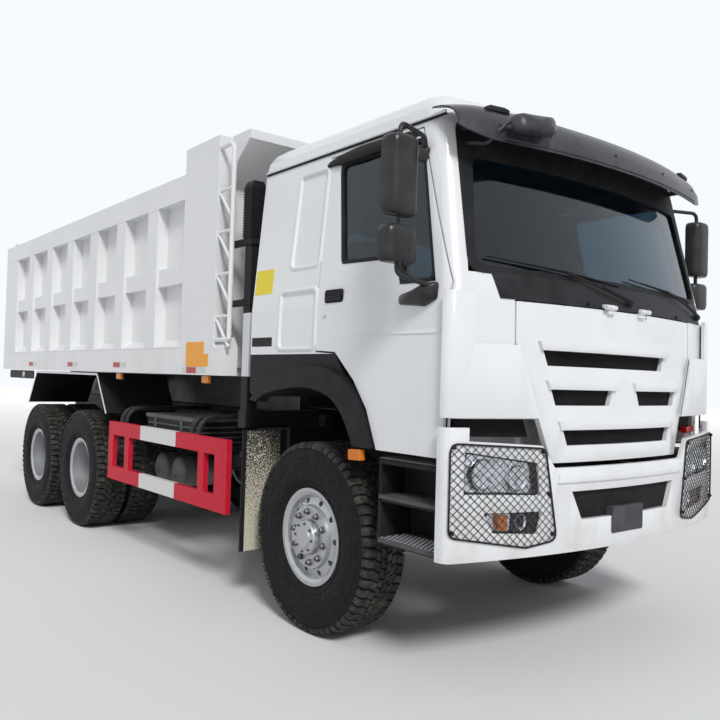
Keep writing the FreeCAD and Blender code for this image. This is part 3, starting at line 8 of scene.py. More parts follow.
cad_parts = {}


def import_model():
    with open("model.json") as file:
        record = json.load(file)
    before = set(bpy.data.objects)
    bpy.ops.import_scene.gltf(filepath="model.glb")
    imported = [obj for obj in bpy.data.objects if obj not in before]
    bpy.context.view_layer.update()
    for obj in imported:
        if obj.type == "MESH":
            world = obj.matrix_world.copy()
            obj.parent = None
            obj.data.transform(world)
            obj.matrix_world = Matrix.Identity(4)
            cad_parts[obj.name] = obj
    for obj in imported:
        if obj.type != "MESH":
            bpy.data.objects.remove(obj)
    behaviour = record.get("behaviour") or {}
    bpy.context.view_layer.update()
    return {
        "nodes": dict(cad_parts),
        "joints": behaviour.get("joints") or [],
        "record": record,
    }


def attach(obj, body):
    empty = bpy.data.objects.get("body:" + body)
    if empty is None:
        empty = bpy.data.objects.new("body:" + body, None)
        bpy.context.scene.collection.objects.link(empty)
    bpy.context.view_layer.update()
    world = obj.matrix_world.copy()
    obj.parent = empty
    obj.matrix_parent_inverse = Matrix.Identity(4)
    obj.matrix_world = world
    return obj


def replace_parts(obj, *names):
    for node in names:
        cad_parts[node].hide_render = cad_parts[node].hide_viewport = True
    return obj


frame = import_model()

NODES = frame["nodes"]
HINGES = {joint["name"]: Vector(joint["pos_m"]) for joint in frame["joints"] if "pos_m" in joint}
FRONT_AXLE = HINGES["steering_left"].y
MID_AXLE = HINGES["roll_mid_left"].y
REAR_AXLE = HINGES["roll_rear_left"].y
AXLE_HIGH = HINGES["steering_left"].z
SIDES = ((1, "left"), (-1, "right"))

# Places on the truck, from its driving sizes in metres
BUMPER_FRONT = FRONT_AXLE - 1.390
CAB_FRONT = FRONT_AXLE - 1.350
BOW_RADIUS = 4.300
CAB_HALF = 1.200
BED_HALF = 1.250
TYRE_RADIUS = 0.561

# Heights at which the cab's faces change their lean, and how far each leans back or in
CAB_FOOT = 1.105
BELT = 1.925
ROOF = 2.850
FLAP_LEAN = 0.015
SCREEN_LEAN = 0.220
SIDE_LEAN = 0.085


# Node graphs

def material(name, colour, roughness, metallic=0.0, **sockets):
    made = bpy.data.materials.new(name)
    made.use_nodes = True
    shader = made.node_tree.nodes["Principled BSDF"]
    shader.inputs["Base Color"].default_value = (*colour, 1)
    shader.inputs["Roughness"].default_value = roughness
    shader.inputs["Metallic"].default_value = metallic
    for socket, value in sockets.items():
        shader.inputs[socket.replace("_", " ")].default_value = value
    return made


def add_node(made, kind, inputs=(), **settings):
    new = made.node_tree.nodes.new(kind)
    for key, value in settings.items():
        setattr(new, key, value)
    for socket, value in dict(inputs).items():
        if isinstance(value, bpy.types.NodeSocket):
            made.node_tree.links.new(value, new.inputs[socket])
        else:
            new.inputs[socket].default_value = value
    return new


def place_of(made):
    return add_node(made, "ShaderNodeTexCoord").outputs["Object"]


def split_place(made):
    """The x, y and z of a point in metres."""
    return add_node(made, "ShaderNodeSeparateXYZ", {0: place_of(made)}).outputs


def noise(made, scale, detail=4.0, stretch=(1, 1, 1)):
    spot = add_node(made, "ShaderNodeMapping", {"Vector": place_of(made), "Scale": stretch})
    sockets = {"Vector": spot.outputs[0], "Scale": scale, "Detail": detail}
    return add_node(made, "ShaderNodeTexNoise", sockets).outputs["Fac"]


def ramp(made, mask, low, high, first=0.0, second=1.0):
    """A mask stretched so that low gives the first value and high the second."""
    return add_node(made, "ShaderNodeMapRange", {0: mask, 1: low, 2: high, 3: first, 4: second}).outputs[0]


def math_node(made, operation, first, second=0.0):
    return add_node(made, "ShaderNodeMath", {0: first, 1: second}, operation=operation).outputs[0]


def within(made, value, low, high):
    above = math_node(made, "GREATER_THAN", value, low)
    return math_node(made, "MULTIPLY", above, math_node(made, "LESS_THAN", value, high))


def mix(made, mask, first, second):
    """The first colour where the mask is 0 and the second where it is 1."""
    colours = [value if isinstance(value, bpy.types.NodeSocket) else (*value, 1) for value in (first, second)]
    sockets = {0: mask, 6: colours[0], 7: colours[1]}
    return add_node(made, "ShaderNodeMix", sockets, data_type="RGBA").outputs[2]


def feed(made, socket, value):
    made.node_tree.links.new(value, made.node_tree.nodes["Principled BSDF"].inputs[socket])


def bump(made, height, distance, strength=1.0):
    dent = add_node(made, "ShaderNodeBump", {"Height": height, "Distance": distance, "Strength": strength})
    feed(made, "Normal", dent.outputs[0])


def scaled(colour, by):
    return tuple(by * c for c in colour)


def painted(name, colour, roughness, dirt_top, coat=0.5, gloss=0.5, dirt=(0.30, 0.26, 0.21)):
    """Sprayed paint: faint colour drift, orange peel, and a film of road dust low down."""
    made = material(name, colour, roughness, Coat_Weight=coat, Coat_Roughness=0.08, Specular_IOR_Level=gloss)
    drift = ramp(made, noise(made, 1.7, 2.0), 0.3, 0.7)
    patches = ramp(made, noise(made, 6.0, 6.0), 0.45, 0.75)
    low = ramp(made, split_place(made)[2], dirt_top, 0.2, 0.0, 0.55)
    film = math_node(made, "MULTIPLY", patches, low)
    feed(made, "Base Color", mix(made, film, mix(made, drift, colour, scaled(colour, 0.95)), dirt))
    feed(made, "Roughness", ramp(made, film, 0.0, 0.5, roughness, min(1.0, roughness + 0.35)))
    bump(made, noise(made, 120.0, 2.0), 0.0004, 0.25)
    return made


def floor_with_painted_shade_below(name, upper, shade_below, level):
    """White load floor with worn patches, near-black below a level: painted shade under the body."""
    made = material(name, upper, 0.5)
    # Painted shade: below the level the floor takes the dark colour.
    above = math_node(made, "GREATER_THAN", split_place(made)[2], level)
    wear = ramp(made, noise(made, 5.0, 6.0), 0.45, 0.7, 0.0, 0.35)
    feed(made, "Base Color", mix(made, above, shade_below, mix(made, wear, upper, (0.30, 0.28, 0.26))))
    feed(made, "Roughness", ramp(made, wear, 0.0, 0.35, 0.42, 0.7))
    bump(made, noise(made, 90.0, 3.0), 0.0005, 0.3)
    return made


def duct_paint(name, black, white, low, high):
    """Black air duct with a white middle length."""
    made = material(name, black, 0.5, Specular_IOR_Level=0.2)
    feed(made, "Base Color", mix(made, within(made, split_place(made)[2], low, high), black, white))
    bump(made, noise(made, 300.0, 2.0), 0.0004, 0.3)
    return made


def moulded(name, colour, roughness, grain=900.0, depth=0.0004, gloss=0.14):
    """Grained plastic with slightly uneven gloss."""
    made = material(name, colour, roughness, Specular_IOR_Level=gloss)
    cloud = noise(made, 9.0, 3.0)
    paler = tuple(min(1.0, 1.5 * c + 0.006) for c in colour)
    feed(made, "Base Color", mix(made, ramp(made, cloud, 0.35, 0.7), colour, paler))
    feed(made, "Roughness", ramp(made, cloud, 0.3, 0.7, roughness - 0.06, roughness + 0.08))
    bump(made, noise(made, grain, 2.0), depth, 0.35)
    return made


def metal(name, colour, roughness, brushed=(1, 1, 1)):
    made = material(name, colour, roughness, metallic=1.0)
    streaks = noise(made, 60.0, 4.0, brushed)
    feed(made, "Base Color", mix(made, ramp(made, streaks, 0.3, 0.7), scaled(colour, 0.82), colour))
    feed(made, "Roughness", ramp(made, streaks, 0.3, 0.7, roughness, roughness + 0.15))
    bump(made, streaks, 0.0003, 0.2)
    return made


def tinted(name, colour, roughness=0.02, transmission=1.0):
    """Glass with a faint dust veil."""
    made = material(name, colour, roughness, Transmission_Weight=transmission, IOR=1.45,
                    Specular_IOR_Level=0.3)
    feed(made, "Roughness", ramp(made, noise(made, 14.0, 5.0), 0.45, 0.8, roughness, roughness + 0.08))
    return made


def rubber(name, colour, dust_colour, most_dust):
    """Tyre rubber with road dust in patches."""
    made = material(name, colour, 0.6, Specular_IOR_Level=0.12)
    dust = ramp(made, noise(made, 22.0, 6.0), 0.42, 0.8, 0.0, most_dust)
    feed(made, "Base Color", mix(made, dust, colour, dust_colour))
    feed(made, "Roughness", ramp(made, noise(made, 40.0), 0.3, 0.7, 0.50, 0.78))
    bump(made, noise(made, 300.0, 3.0), 0.0006, 0.5)
    return made


def guard_paint(name, plate_x, plate_top, white_low, white_high):
    """Side guard: a red plate with one white band, on black tube hangers."""
    made = material(name, (0.5, 0.02, 0.03), 0.42, Specular_IOR_Level=0.15)
    across, along, high = split_place(made)
    outer = math_node(made, "GREATER_THAN", math_node(made, "ABSOLUTE", across), plate_x)
    plate = math_node(made, "MULTIPLY", outer, math_node(made, "LESS_THAN", high, plate_top))
    band = within(made, along, white_low, white_high)
    paint = mix(made, band, (0.58, 0.013, 0.036), (0.72, 0.71, 0.69))
    coat = mix(made, plate, (0.03, 0.03, 0.033), paint)
    dust = ramp(made, noise(made, 12.0, 6.0), 0.5, 0.85, 0.0, 0.10)
    feed(made, "Base Color", mix(made, dust, coat, (0.30, 0.26, 0.22)))
    bump(made, noise(made, 150.0, 2.0), 0.0004, 0.25)
    return made


def speckled(name, cream, dirt):
    """Cream mud flap spattered with dark road dirt, thickest at its top."""
    made = material(name, cream, 0.75)
    spots = noise(made, 120.0, 8.0)
    least = ramp(made, split_place(made)[2], 0.45, 1.1, 0.64, 0.42)
    feed(made, "Base Color", mix(made, math_node(made, "GREATER_THAN", spots, least), cream, dirt))
    bump(made, spots, 0.002, 0.5)
    return made


def woven(name, colour):
    made = material(name, colour, 0.9, Sheen_Weight=0.3)
    place = place_of(made)
    threads = [add_node(made, "ShaderNodeTexWave", {"Vector": place, "Scale": 260.0, "Distortion": 0.6},
                        bands_direction=way).outputs["Fac"] for way in ("X", "Z")]
    cloth = math_node(made, "MULTIPLY", *threads)
    feed(made, "Base Color", mix(made, cloth, scaled(colour, 0.6), scaled(colour, 1.4)))
    bump(made, cloth, 0.0008, 0.6)
    return made


def reflector(name):
    """Bright lamp bowl with faceted flutes."""
    made = material(name, (0.82, 0.84, 0.87), 0.12, metallic=1.0)
    flutes = add_node(made, "ShaderNodeTexVoronoi", {"Vector": place_of(made), "Scale": 42.0})
    cells = flutes.outputs["Distance"]
    feed(made, "Roughness", ramp(made, cells, 0.0, 0.8, 0.08, 0.3))
    bump(made, cells, 0.004, 0.6)
    return made


CAB_WHITE = painted("cab_white", (0.80, 0.81, 0.82), 0.30, 1.3)
BED_WHITE = painted("bed_white", (0.78, 0.785, 0.79), 0.42, 1.9, 0.25)
# Below 1.498 m the floor is near-black: painted shade under the body.
BED_FLOOR_SHADED_BELOW = floor_with_painted_shade_below("bed_floor", (0.62, 0.625, 0.63), (0.030, 0.030, 0.033), 1.498)
CHASSIS = painted("chassis_satin", (0.016, 0.016, 0.018), 0.5, 1.3, 0.0, 0.13, (0.06, 0.056, 0.05))
PLASTIC = moulded("plastic_grained", (0.012, 0.012, 0.014), 0.5)
VISOR_GREY = moulded("visor_grey", (0.034, 0.034, 0.042), 0.28, 400.0, 0.0002, 0.25)
SEAL = moulded("seal_rubber", (0.012, 0.012, 0.013), 0.6)
GLASS = tinted("glass_teal", (0.12, 0.21, 0.27))
LENS = tinted("lens_clear", (0.96, 0.97, 0.98))
LENS_PALE = tinted("lens_pale", (0.75, 0.72, 0.65), 0.2, 0.3)
AMBER = tinted("lens_amber", (0.95, 0.30, 0.03), 0.15, 0.4)
RED_LENS = tinted("lens_red", (0.55, 0.02, 0.02), 0.15, 0.4)
SMOKE = tinted("lens_smoke", (0.20, 0.17, 0.14), 0.12, 0.5)
MIRROR_GLASS = metal("mirror_glass", (0.75, 0.78, 0.80), 0.03)
MIRROR_BLACK = moulded("mirror_black", (0.018, 0.018, 0.019), 0.3, 500.0, 0.0002, 0.3)
TYRE = rubber("tyre_rubber", (0.011, 0.011, 0.012), (0.045, 0.042, 0.038), 0.22)
TREAD = rubber("tyre_tread", (0.024, 0.024, 0.023), (0.12, 0.113, 0.095), 0.75)
RIM = painted("rim_silver", (0.47, 0.48, 0.50), 0.33, 0.7, 0.3)
RIM.node_tree.nodes["Principled BSDF"].inputs["Metallic"].default_value = 0.65
GUARD = guard_paint("guard_red_white", 1.195, 1.07, -0.983, -0.320)
TANK = painted("tank_grey", (0.13, 0.13, 0.125), 0.5, 1.2, 0.0, 0.2)
BOX_GREY = moulded("box_grey", (0.105, 0.105, 0.10), 0.55)
IRON = painted("cast_iron", (0.07, 0.07, 0.072), 0.7, 1.0, 0.0, 0.2)
STEEL = metal("ground_steel", (0.58, 0.58, 0.60), 0.22, (1, 1, 12))
NUT_GREY = metal("nut_grey", (0.20, 0.20, 0.21), 0.42)
ALUMINIUM = metal("tread_aluminium", (0.70, 0.71, 0.72), 0.35)
CHROME = reflector("lamp_reflector")
CLOTH = woven("seat_cloth", (0.075, 0.078, 0.088))
FLAP_CREAM = speckled("flap_cream", (0.62, 0.58, 0.45), (0.045, 0.042, 0.038))
GRILLE = moulded("grille_dark", (0.010, 0.010, 0.011), 0.7)
COWL = moulded("cowl_black", (0.016, 0.016, 0.018), 0.45, 500.0, 0.0003)
STEP_GREY = moulded("step_grey", (0.060, 0.060, 0.063), 0.45, 260.0, 0.001, 0.3)
DUCT = duct_paint("duct_black", (0.012, 0.012, 0.014), (0.66, 0.67, 0.68), 1.50, 1.93)
PLATE_DARK = moulded("plate_dark", (0.055, 0.055, 0.062), 0.4)
PLATE_BLACK = moulded("plate_black", (0.012, 0.009, 0.009), 0.35)
ORANGE = painted("plate_orange", (0.86, 0.36, 0.02), 0.45, 0.3, 0.1)
YELLOW = painted("label_yellow", (0.80, 0.66, 0.03), 0.5, 0.3, 0.1)
TAPE_WHITE = painted("tape_white", (0.62, 0.62, 0.61), 0.4, 0.3, 0.1)
TAPE_RED = painted("tape_red", (0.45, 0.03, 0.03), 0.4, 0.3, 0.1)

SLOT_LOOKS = {
    "white_paint": CAB_WHITE, "chassis_black": CHASSIS, "black_plastic": PLASTIC, "dark_grey": VISOR_GREY,
    "glass": GLASS, "tyre": TYRE, "rim_silver": RIM, "red_paint": GUARD, "lamp": CHROME, "tank_grey": TANK,
    "cast_iron": IRON, "steel": STEEL, "seat_fabric": CLOTH}
NODE_LOOKS = {
    "bed_floor": BED_FLOOR_SHADED_BELOW, "bed_sides": BED_WHITE, "bed_front": BED_WHITE, "ladder": BED_WHITE,
    "tailgate": BED_WHITE, "air_intake": DUCT}
EDGE_WIDTHS = {
    "bed_sides": 0.012, "bed_front": 0.008, "tailgate": 0.008, "cab_shell": 0.006, "front_bumper": 0.010,
    "corner_panels": 0.006, "front_flap": 0.006, "steps": 0.010, "battery_box": 0.025,
    "fuel_tank": 0.045, "silencer": 0.03, "hydraulic_tank": 0.03, "side_guards": 0.004, "mudguards": 0.004,
    "wheel_arches": 0.005, "door_left": 0.005, "door_right": 0.005, "air_tanks": 0.03, "air_intake": 0.02,
    "engine_block": 0.02, "dashboard": 0.02}


# Shapes in mesh code

def finished(name, work, look, body, width=0.0, smooth=32.0):
    """Turn a bmesh into a piece that rides on a body, with soft edges where width is given."""
    bmesh.ops.recalc_face_normals(work, faces=work.faces)
    mesh = bpy.data.meshes.new(name)
    work.to_mesh(mesh)
    work.free()
    mesh.materials.append(look)
    piece = bpy.data.objects.new(name, mesh)
    bpy.context.scene.collection.objects.link(piece)
    if width:
        soften(piece, width)
    for face in mesh.polygons:
        face.use_smooth = True
    mesh.set_sharp_from_angle(angle=math.radians(smooth))
    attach(piece, body)
    return piece


def soften(piece, width):
    edge = piece.modifiers.new("Edges", "BEVEL")
    edge.width = width
    edge.segments = 2
    edge.limit_method = "ANGLE"
    edge.angle_limit = math.radians(30.0)
    edge.harden_normals = True
    edge.miter_outer = "MITER_ARC"


def add_block(work, corner, far_corner):
    """A box between two opposite corners."""
    middle = [(a + b) / 2 for a, b in zip(corner, far_corner)]
    spans = [abs(b - a) for a, b in zip(corner, far_corner)]
    place = Matrix.Translation(middle) @ Matrix.Diagonal((*spans, 1))
    bmesh.ops.transform(work, matrix=place, verts=bmesh.ops.create_cube(work, size=1.0)["verts"])


def add_loft(work, rings, capped=True, looped=False):
    """Skin over rings of points that all have the same count; looped joins the last ring to the first."""
    rows = [[work.verts.new(point) for point in ring] for ring in rings]
    count = len(rows[0])
    for first, second in zip(rows, rows[1:] + rows[:1] if looped else rows[1:]):
        for i in range(count):
            j = (i + 1) % count
            work.faces.new((first[i], first[j], second[j], second[i]))
    if capped and not looped:
        work.faces.new(rows[0])
        work.faces.new(rows[-1])
    return rows


def add_prism(work, outline, near, far):
    """An outline of (y, z) points, pushed across the truck from near to far."""
    add_loft(work, [[(x, y, z) for y, z in outline] for x in (near, far)])


def add_turned(work, profile, centre, count=64, axis="X"):
    """A closed profile of (along, radius) points turned about an axis through the centre."""
    rings = []
    for i in range(count):
        turn = 2 * math.pi * i / count
        ring = []
        for along, radius in profile:
            a, b = radius * math.cos(turn), radius * math.sin(turn)
            spot = {"X": (along, a, b), "Y": (a, along, b), "Z": (a, b, along)}[axis]
            ring.append(Vector(centre) + Vector(spot))
        rings.append(ring)
    rows = add_loft(work, rings, looped=True)
    bmesh.ops.remove_doubles(work, verts=[vertex for row in rows for vertex in row], dist=1e-6)


def add_rod(work, points, radius, sides=8, closed=False):
    """A round bar along points."""
    points = [Vector(point) for point in points]
    count = len(points)
    side = None
    rings = []
    for i, point in enumerate(points):
        before = points[i - 1] if i or closed else point
        after = points[(i + 1) % count] if i < count - 1 or closed else point
        way = (after - before).normalized()
        if side is None:
            side = way.orthogonal().normalized()
        side = (side - way * side.dot(way)).normalized()
        up = way.cross(side)
        rings.append([point + radius * (math.cos(t) * side + math.sin(t) * up)
                      for t in (2 * math.pi * k / sides for k in range(sides))])
    add_loft(work, rings, looped=closed)


def rounded(points, radius, steps=5):
    """An outline or route with each corner turned through an arc."""
    spots = [Vector(point) for point in points]
    route = [spots[0]]
    for before, corner, after in zip(spots, spots[1:], spots[2:]):
        come, leave = (corner - before).normalized(), (after - corner).normalized()
        longest = 0.48 * min((corner - before).length, (after - corner).length)
        reach = min(radius * math.tan(come.angle(leave) / 2), longest)
        for k in range(steps + 1):
            share = k / steps
            first, second = corner - come * reach, corner + leave * reach
            route.append(first.lerp(corner, share).lerp(corner.lerp(second, share), share))
    route.append(spots[-1])
    return route


def rounded_loop(points, radius, steps=5):
    """A closed outline with round corners."""
    ring = rounded([points[-1], *points, points[0]], radius, steps)
    return [tuple(point) for point in ring[1:-1]]


def divided(points, step=0.05, parts=0):
    """A closed outline with extra points along its sides: one per step, or the same parts on each side."""
    route = []
    for (x, z), (u, w) in zip(points, [*points[1:], points[0]]):
        count = parts or max(1, int(math.hypot(u - x, w - z) / step))
        route += [(x + (u - x) * k / count, z + (w - z) * k / count) for k in range(count)]
    return route


def middle_of(points):
    return [sum(values) / len(points) for values in zip(*points)]


def shrunk(points, by):
    """A convex outline drawn in towards its middle by a distance."""
    middle = Vector(middle_of(points))
    return [tuple(Vector(point) - (Vector(point) - middle).normalized() * by) for point in points]


def scaled_about(points, middle, share):
    return [(middle[0] + share * (a - middle[0]), middle[1] + share * (b - middle[1])) for a, b in points]


def outward(profile, side):
    """A profile of (across, radius) turned towards one side of the truck."""
    return [(side * across, radius) for across, radius in profile]


def rect(left, right, low, high):
    return [(left, low), (right, low), (right, high), (left, high)]


def bow(x, front):
    """How far back the bowed front lies at one distance from the middle."""
    return front + BOW_RADIUS - math.sqrt(BOW_RADIUS ** 2 - x ** 2)


def on_bow(points, front, depth, side=1):
    """(x, z) points laid on a bowed front, moved back by a depth."""
    return [(side * x, bow(x, front) + depth, z) for x, z in points]


def lean(z):
    """How far the cab's front has leant back at a height."""
    if z < BELT:
        return FLAP_LEAN * (z - CAB_FOOT) / (BELT - CAB_FOOT)
    return FLAP_LEAN + SCREEN_LEAN * (z - BELT) / (ROOF - BELT)


def on_cab(points, depth):
    """(x, z) points laid on the cab's front face, moved back by a depth."""
    return [(x, bow(x, CAB_FRONT + lean(z)) + depth, z) for x, z in points]


def side_x(z):
    """Half the cab's width at a height."""
    return CAB_HALF if z < BELT else CAB_HALF - SIDE_LEAN * (z - BELT) / (ROOF - BELT)


def both(build):
    """Run a builder for each side of the truck."""
    for side, word in SIDES:
        build(side, word)


# CAD nodes: their own shapes, with soft edges and real finishes

def dress_nodes():
    for row in frame["record"]["subparts"]:
        name = row["node"]
        thing = NODES[name]
        thing.data.materials.clear()
        thing.data.materials.append(NODE_LOOKS.get(name, SLOT_LOOKS[row["material_slot"]]))
        if name in EDGE_WIDTHS:
            weld = thing.modifiers.new("Weld", "WELD")
            weld.merge_threshold = 0.0002
            soften(thing, EDGE_WIDTHS[name])


dress_nodes()


# Wheels

TREAD_FOOT = TYRE_RADIUS - 0.014
LUG_FOOT = TREAD_FOOT - 0.002
BLOCK_TOP = TYRE_RADIUS - 0.0005
PITCHES = 60
CARCASS = ((0.108, 0.262), (0.118, 0.292), (0.140, 0.318), (0.1535, 0.352), (0.1565, 0.395), (0.1545, 0.440),
           (0.149, 0.480), (0.1465, 0.4805), (0.144, 0.505), (0.139, 0.530), (0.128, TREAD_FOOT))
SHOULDER_LUG = ((0.080, LUG_FOOT), (0.080, TYRE_RADIUS), (0.126, TYRE_RADIUS), (0.143, 0.549),
                (0.1495, 0.527), (0.140, 0.522))
CENTRE_BLOCKS = ((0.004, 0.037, 0.0), (0.041, 0.076, 0.5))
WALL_RINGS = ((0.330, 0.1465, 0.0025), (0.436, 0.1548, 0.002), (0.468, 0.1505, 0.0015))

# Rings of nuts: their x, the ring's radius, count and first turn, a nut's radius and height
FRONT_NUTS = ((1.160, 0.148, 10, 0.2, 0.0165, 0.022), (1.1975, 0.082, 8, 0.1, 0.007, 0.004))
REAR_NUTS = ((0.931, 0.1665, 10, 0.2, 0.0165, 0.024), (1.064, 0.092, 12, 0.1, 0.008, 0.007))
FRONT_CAP = ((0.030, 0.0), (0.047, 0.0), (0.047, 0.058), (0.045, 0.062), (0.040, 0.064), (0.038, 0.096),
             (0.030, 0.102), (0.012, 0.104))
REAR_CAP = ((0.0, 0.0), (0.012, 0.0), (0.012, 0.050), (0.004, 0.062), (0.0, 0.064))
FRONT_CAP_X, REAR_CAP_X = 1.160, 1.085
FRONT_TYRE_X = (1.030,)
TWIN_TYRE_X = (0.744, 1.086)
VALVE = ((1.120, 0.10, 0.175), (1.150, 0.105, 0.185), (1.168, 0.095, 0.165))


def add_lug(work, profile, start, span, slant):
    """A block of tread: a profile of (across, radius) carried through a small turn."""
    add_loft(work, [[(x, radius * math.cos(turn + slant * x), radius * math.sin(turn + slant * x))
                     for x, radius in profile] for turn in (start, start + span / 2, start + span)])


def tyre_template():
    work = bmesh.new()
    add_turned(work, [*CARCASS, *((-x, radius) for x, radius in reversed(CARCASS))], (0, 0, 0), 96)
    wall_faces = len(work.faces)
    pitch = 2 * math.pi / PITCHES
    for k in range(PITCHES):
        for side, shift in ((1, 0.25), (-1, 0.75)):
            add_lug(work, outward(SHOULDER_LUG, side), (k + shift) * pitch, 0.72 * pitch, 0.22)
            for near, far, lag in CENTRE_BLOCKS:
                block = [(near, LUG_FOOT), (near, BLOCK_TOP), (far, BLOCK_TOP), (far, LUG_FOOT)]
                add_lug(work, outward(block, side), (k + lag + shift) * pitch, 0.82 * pitch, -0.8 * side)
    work.faces.ensure_lookup_table()
    for face in work.faces[wall_faces:]:
        face.material_index = 1
    bmesh.ops.recalc_face_normals(work, faces=work.faces)
    mesh = bpy.data.meshes.new("tyre_template")
    work.to_mesh(mesh)
    work.free()
    return mesh


TYRE_MESH = tyre_template()


def tyres(name, node_name, body, across, along, side):
    """The tyres of one wheel, with moulded rings and no lettering on the outer wall."""
    work = bmesh.new()
    for x in across:
        before = len(work.verts)
        work.from_mesh(TYRE_MESH)
        work.verts.ensure_lookup_table()
        bmesh.ops.translate(work, verts=work.verts[before:], vec=(side * x, along, AXLE_HIGH))
    for radius, wall, rise in WALL_RINGS:
        ridge = ((-0.004, -0.004), (rise, -0.0015), (rise, 0.0015), (-0.004, 0.004))
        profile = [(out, radius + wide) for out, wide in ridge]
        add_turned(work, outward(profile, side), (side * (across[-1] + wall), along, AXLE_HIGH), 96)
    piece = finished(name, work, TYRE, body, smooth=28.0)
    piece.data.materials.append(TREAD)
    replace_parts(piece, node_name)


def ring_of(centre, radius, count, turn=0.0):
    """Points round a circle in the plane of the wheels, as (y, z)."""
    turns = [2 * math.pi * k / count + turn for k in range(count)]
    return [(centre[0] + radius * math.cos(t), centre[1] + radius * math.sin(t)) for t in turns]


def add_nut(work, x, centre, radius, out, side):
    """A wheel nut on its washer, with the stud's end."""
    washer, stud = ((-0.002, 1.25), (0.004, 1.25)), ((0.0, 0.5), (out + 0.010, 0.5))
    for count, levels in ((16, washer), (12, stud), (6, ((0.0, 1.0), (0.85 * out, 1.0), (out, 0.86)))):
        add_loft(work, [[(side * (x + level), y, z) for y, z in ring_of(centre, share * radius, count)]
                        for level, share in levels])


def wheel_metal(place, side, word, along, nut_rings, cap_x, cap_profile, cap_count):
    body = "wheel_%s_%s" % (place, word)
    nuts = bmesh.new()
    for x, ring, count, turn, radius, out in nut_rings:
        for centre in ring_of((along, AXLE_HIGH), ring, count, turn):
            add_nut(nuts, x, centre, radius, out, side)
    finished("%s_nuts_%s" % (place, word), nuts, NUT_GREY, body, smooth=25.0)
    cap = bmesh.new()
    add_turned(cap, outward(cap_profile, side), (side * cap_x, along, AXLE_HIGH), cap_count)
    finished("%s_cap_%s" % (place, word), cap, RIM, body, smooth=25.0)


def wheels(side, word):
    tyres("front_tyre_" + word, "tyre_front_" + word, "wheel_front_" + word, FRONT_TYRE_X, FRONT_AXLE, side)
    wheel_metal("front", side, word, FRONT_AXLE, FRONT_NUTS, FRONT_CAP_X, FRONT_CAP, 64)
    valve = bmesh.new()
    add_rod(valve, [(side * x, FRONT_AXLE + y, AXLE_HIGH + z) for x, y, z in VALVE], 0.004)
    finished("front_valve_" + word, valve, STEEL, "wheel_front_" + word)
    for place, along in (("mid", MID_AXLE), ("rear", REAR_AXLE)):
        names = [form % (place, word) for form in ("%s_twin_tyres_%s", "tyres_%s_%s", "wheel_%s_%s")]
        tyres(*names, TWIN_TYRE_X, along, side)
        wheel_metal(place, side, word, along, REAR_NUTS, REAR_CAP_X, REAR_CAP, 48)


both(wheels)


# Lamps behind their wire guards

LAMP_MAIN = ((1.146, 1.172), (0.733, 1.112), (0.712, 0.958), (1.150, 0.980))
LAMP_FOG = ((1.040, 0.880), (0.700, 0.872), (0.728, 0.768), (0.985, 0.788))
FOG_SHINE = (LAMP_FOG[0], LAMP_FOG[3], (0.860, 0.776), (0.850, 0.874))
LAMP_TURN = ((0.955, 0.868), (0.895, 0.866), (0.895, 0.790), (0.945, 0.794))
MAIN_BOWLS = ((0.835, 1.040, 0.062), (1.035, 1.062, 0.074))
FOG_BOWLS = ((0.800, 0.824, 0.038),)
DISH_TURNS = (0, 0.4, 0.8, 1.2, math.pi / 2)
BULB = ((0.028, 0.0), (0.028, 0.010), (0.006, 0.010), (0.0, 0.006), (0.0, 0.0))
GUARD_EDGE = ((1.232, 1.217), (0.685, 1.186), (0.600, 0.728), (0.800, 0.704), (1.232, 0.778))
GUARD_DEPTH = -0.007
GUARD_SCREWS = ((1.215, 1.200), (0.700, 1.172), (0.628, 0.760), (0.655, 0.960), (1.215, 0.800))


def front_sheet(work, outline, front, near, far, side=1):
    """A curved sheet that follows the bowed front, between two depths behind it."""
    corners = divided(outline)
    middle = middle_of(corners)
    halfway = scaled_about(corners, middle, 0.5)
    rows = add_loft(work, [on_bow(corners, front, depth, side) for depth in (near, far)], capped=False)
    for row, depth in zip(rows, (near, far)):
        centre = work.verts.new(on_bow([middle], front, depth, side)[0])
        inner = [work.verts.new(point) for point in on_bow(halfway, front, depth, side)]
        for i in range(len(row)):
            j = (i + 1) % len(row)
            work.faces.new((row[i], row[j], inner[j], inner[i]))
            work.faces.new((inner[i], inner[j], centre))


def lamp_casing():
    """The black housings of both lamp units, open to the front, and the bright sheets in them."""
    house = bmesh.new()
    shine = bmesh.new()
    for side, _ in SIDES:
        for points in (LAMP_MAIN, LAMP_FOG):
            edge = rounded_loop(points, 0.02)
            inner = shrunk(edge, 0.006)
            add_loft(house, [on_bow(ring, BUMPER_FRONT, depth, side) for ring, depth in
                             ((edge, 0.05), (edge, 0.008), (inner, 0.008), (inner, 0.05))], capped=False)
            front_sheet(house, edge, BUMPER_FRONT, 0.045, 0.052, side)
        for points in (LAMP_MAIN, FOG_SHINE):
            front_sheet(shine, shrunk(rounded_loop(points, 0.02), 0.009), BUMPER_FRONT, 0.034, 0.040, side)
    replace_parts(finished("lamp_casing", house, PLASTIC, "chassis", smooth=30.0), "headlamps")
    finished("lamp_reflectors", shine, CHROME, "chassis", smooth=40.0)


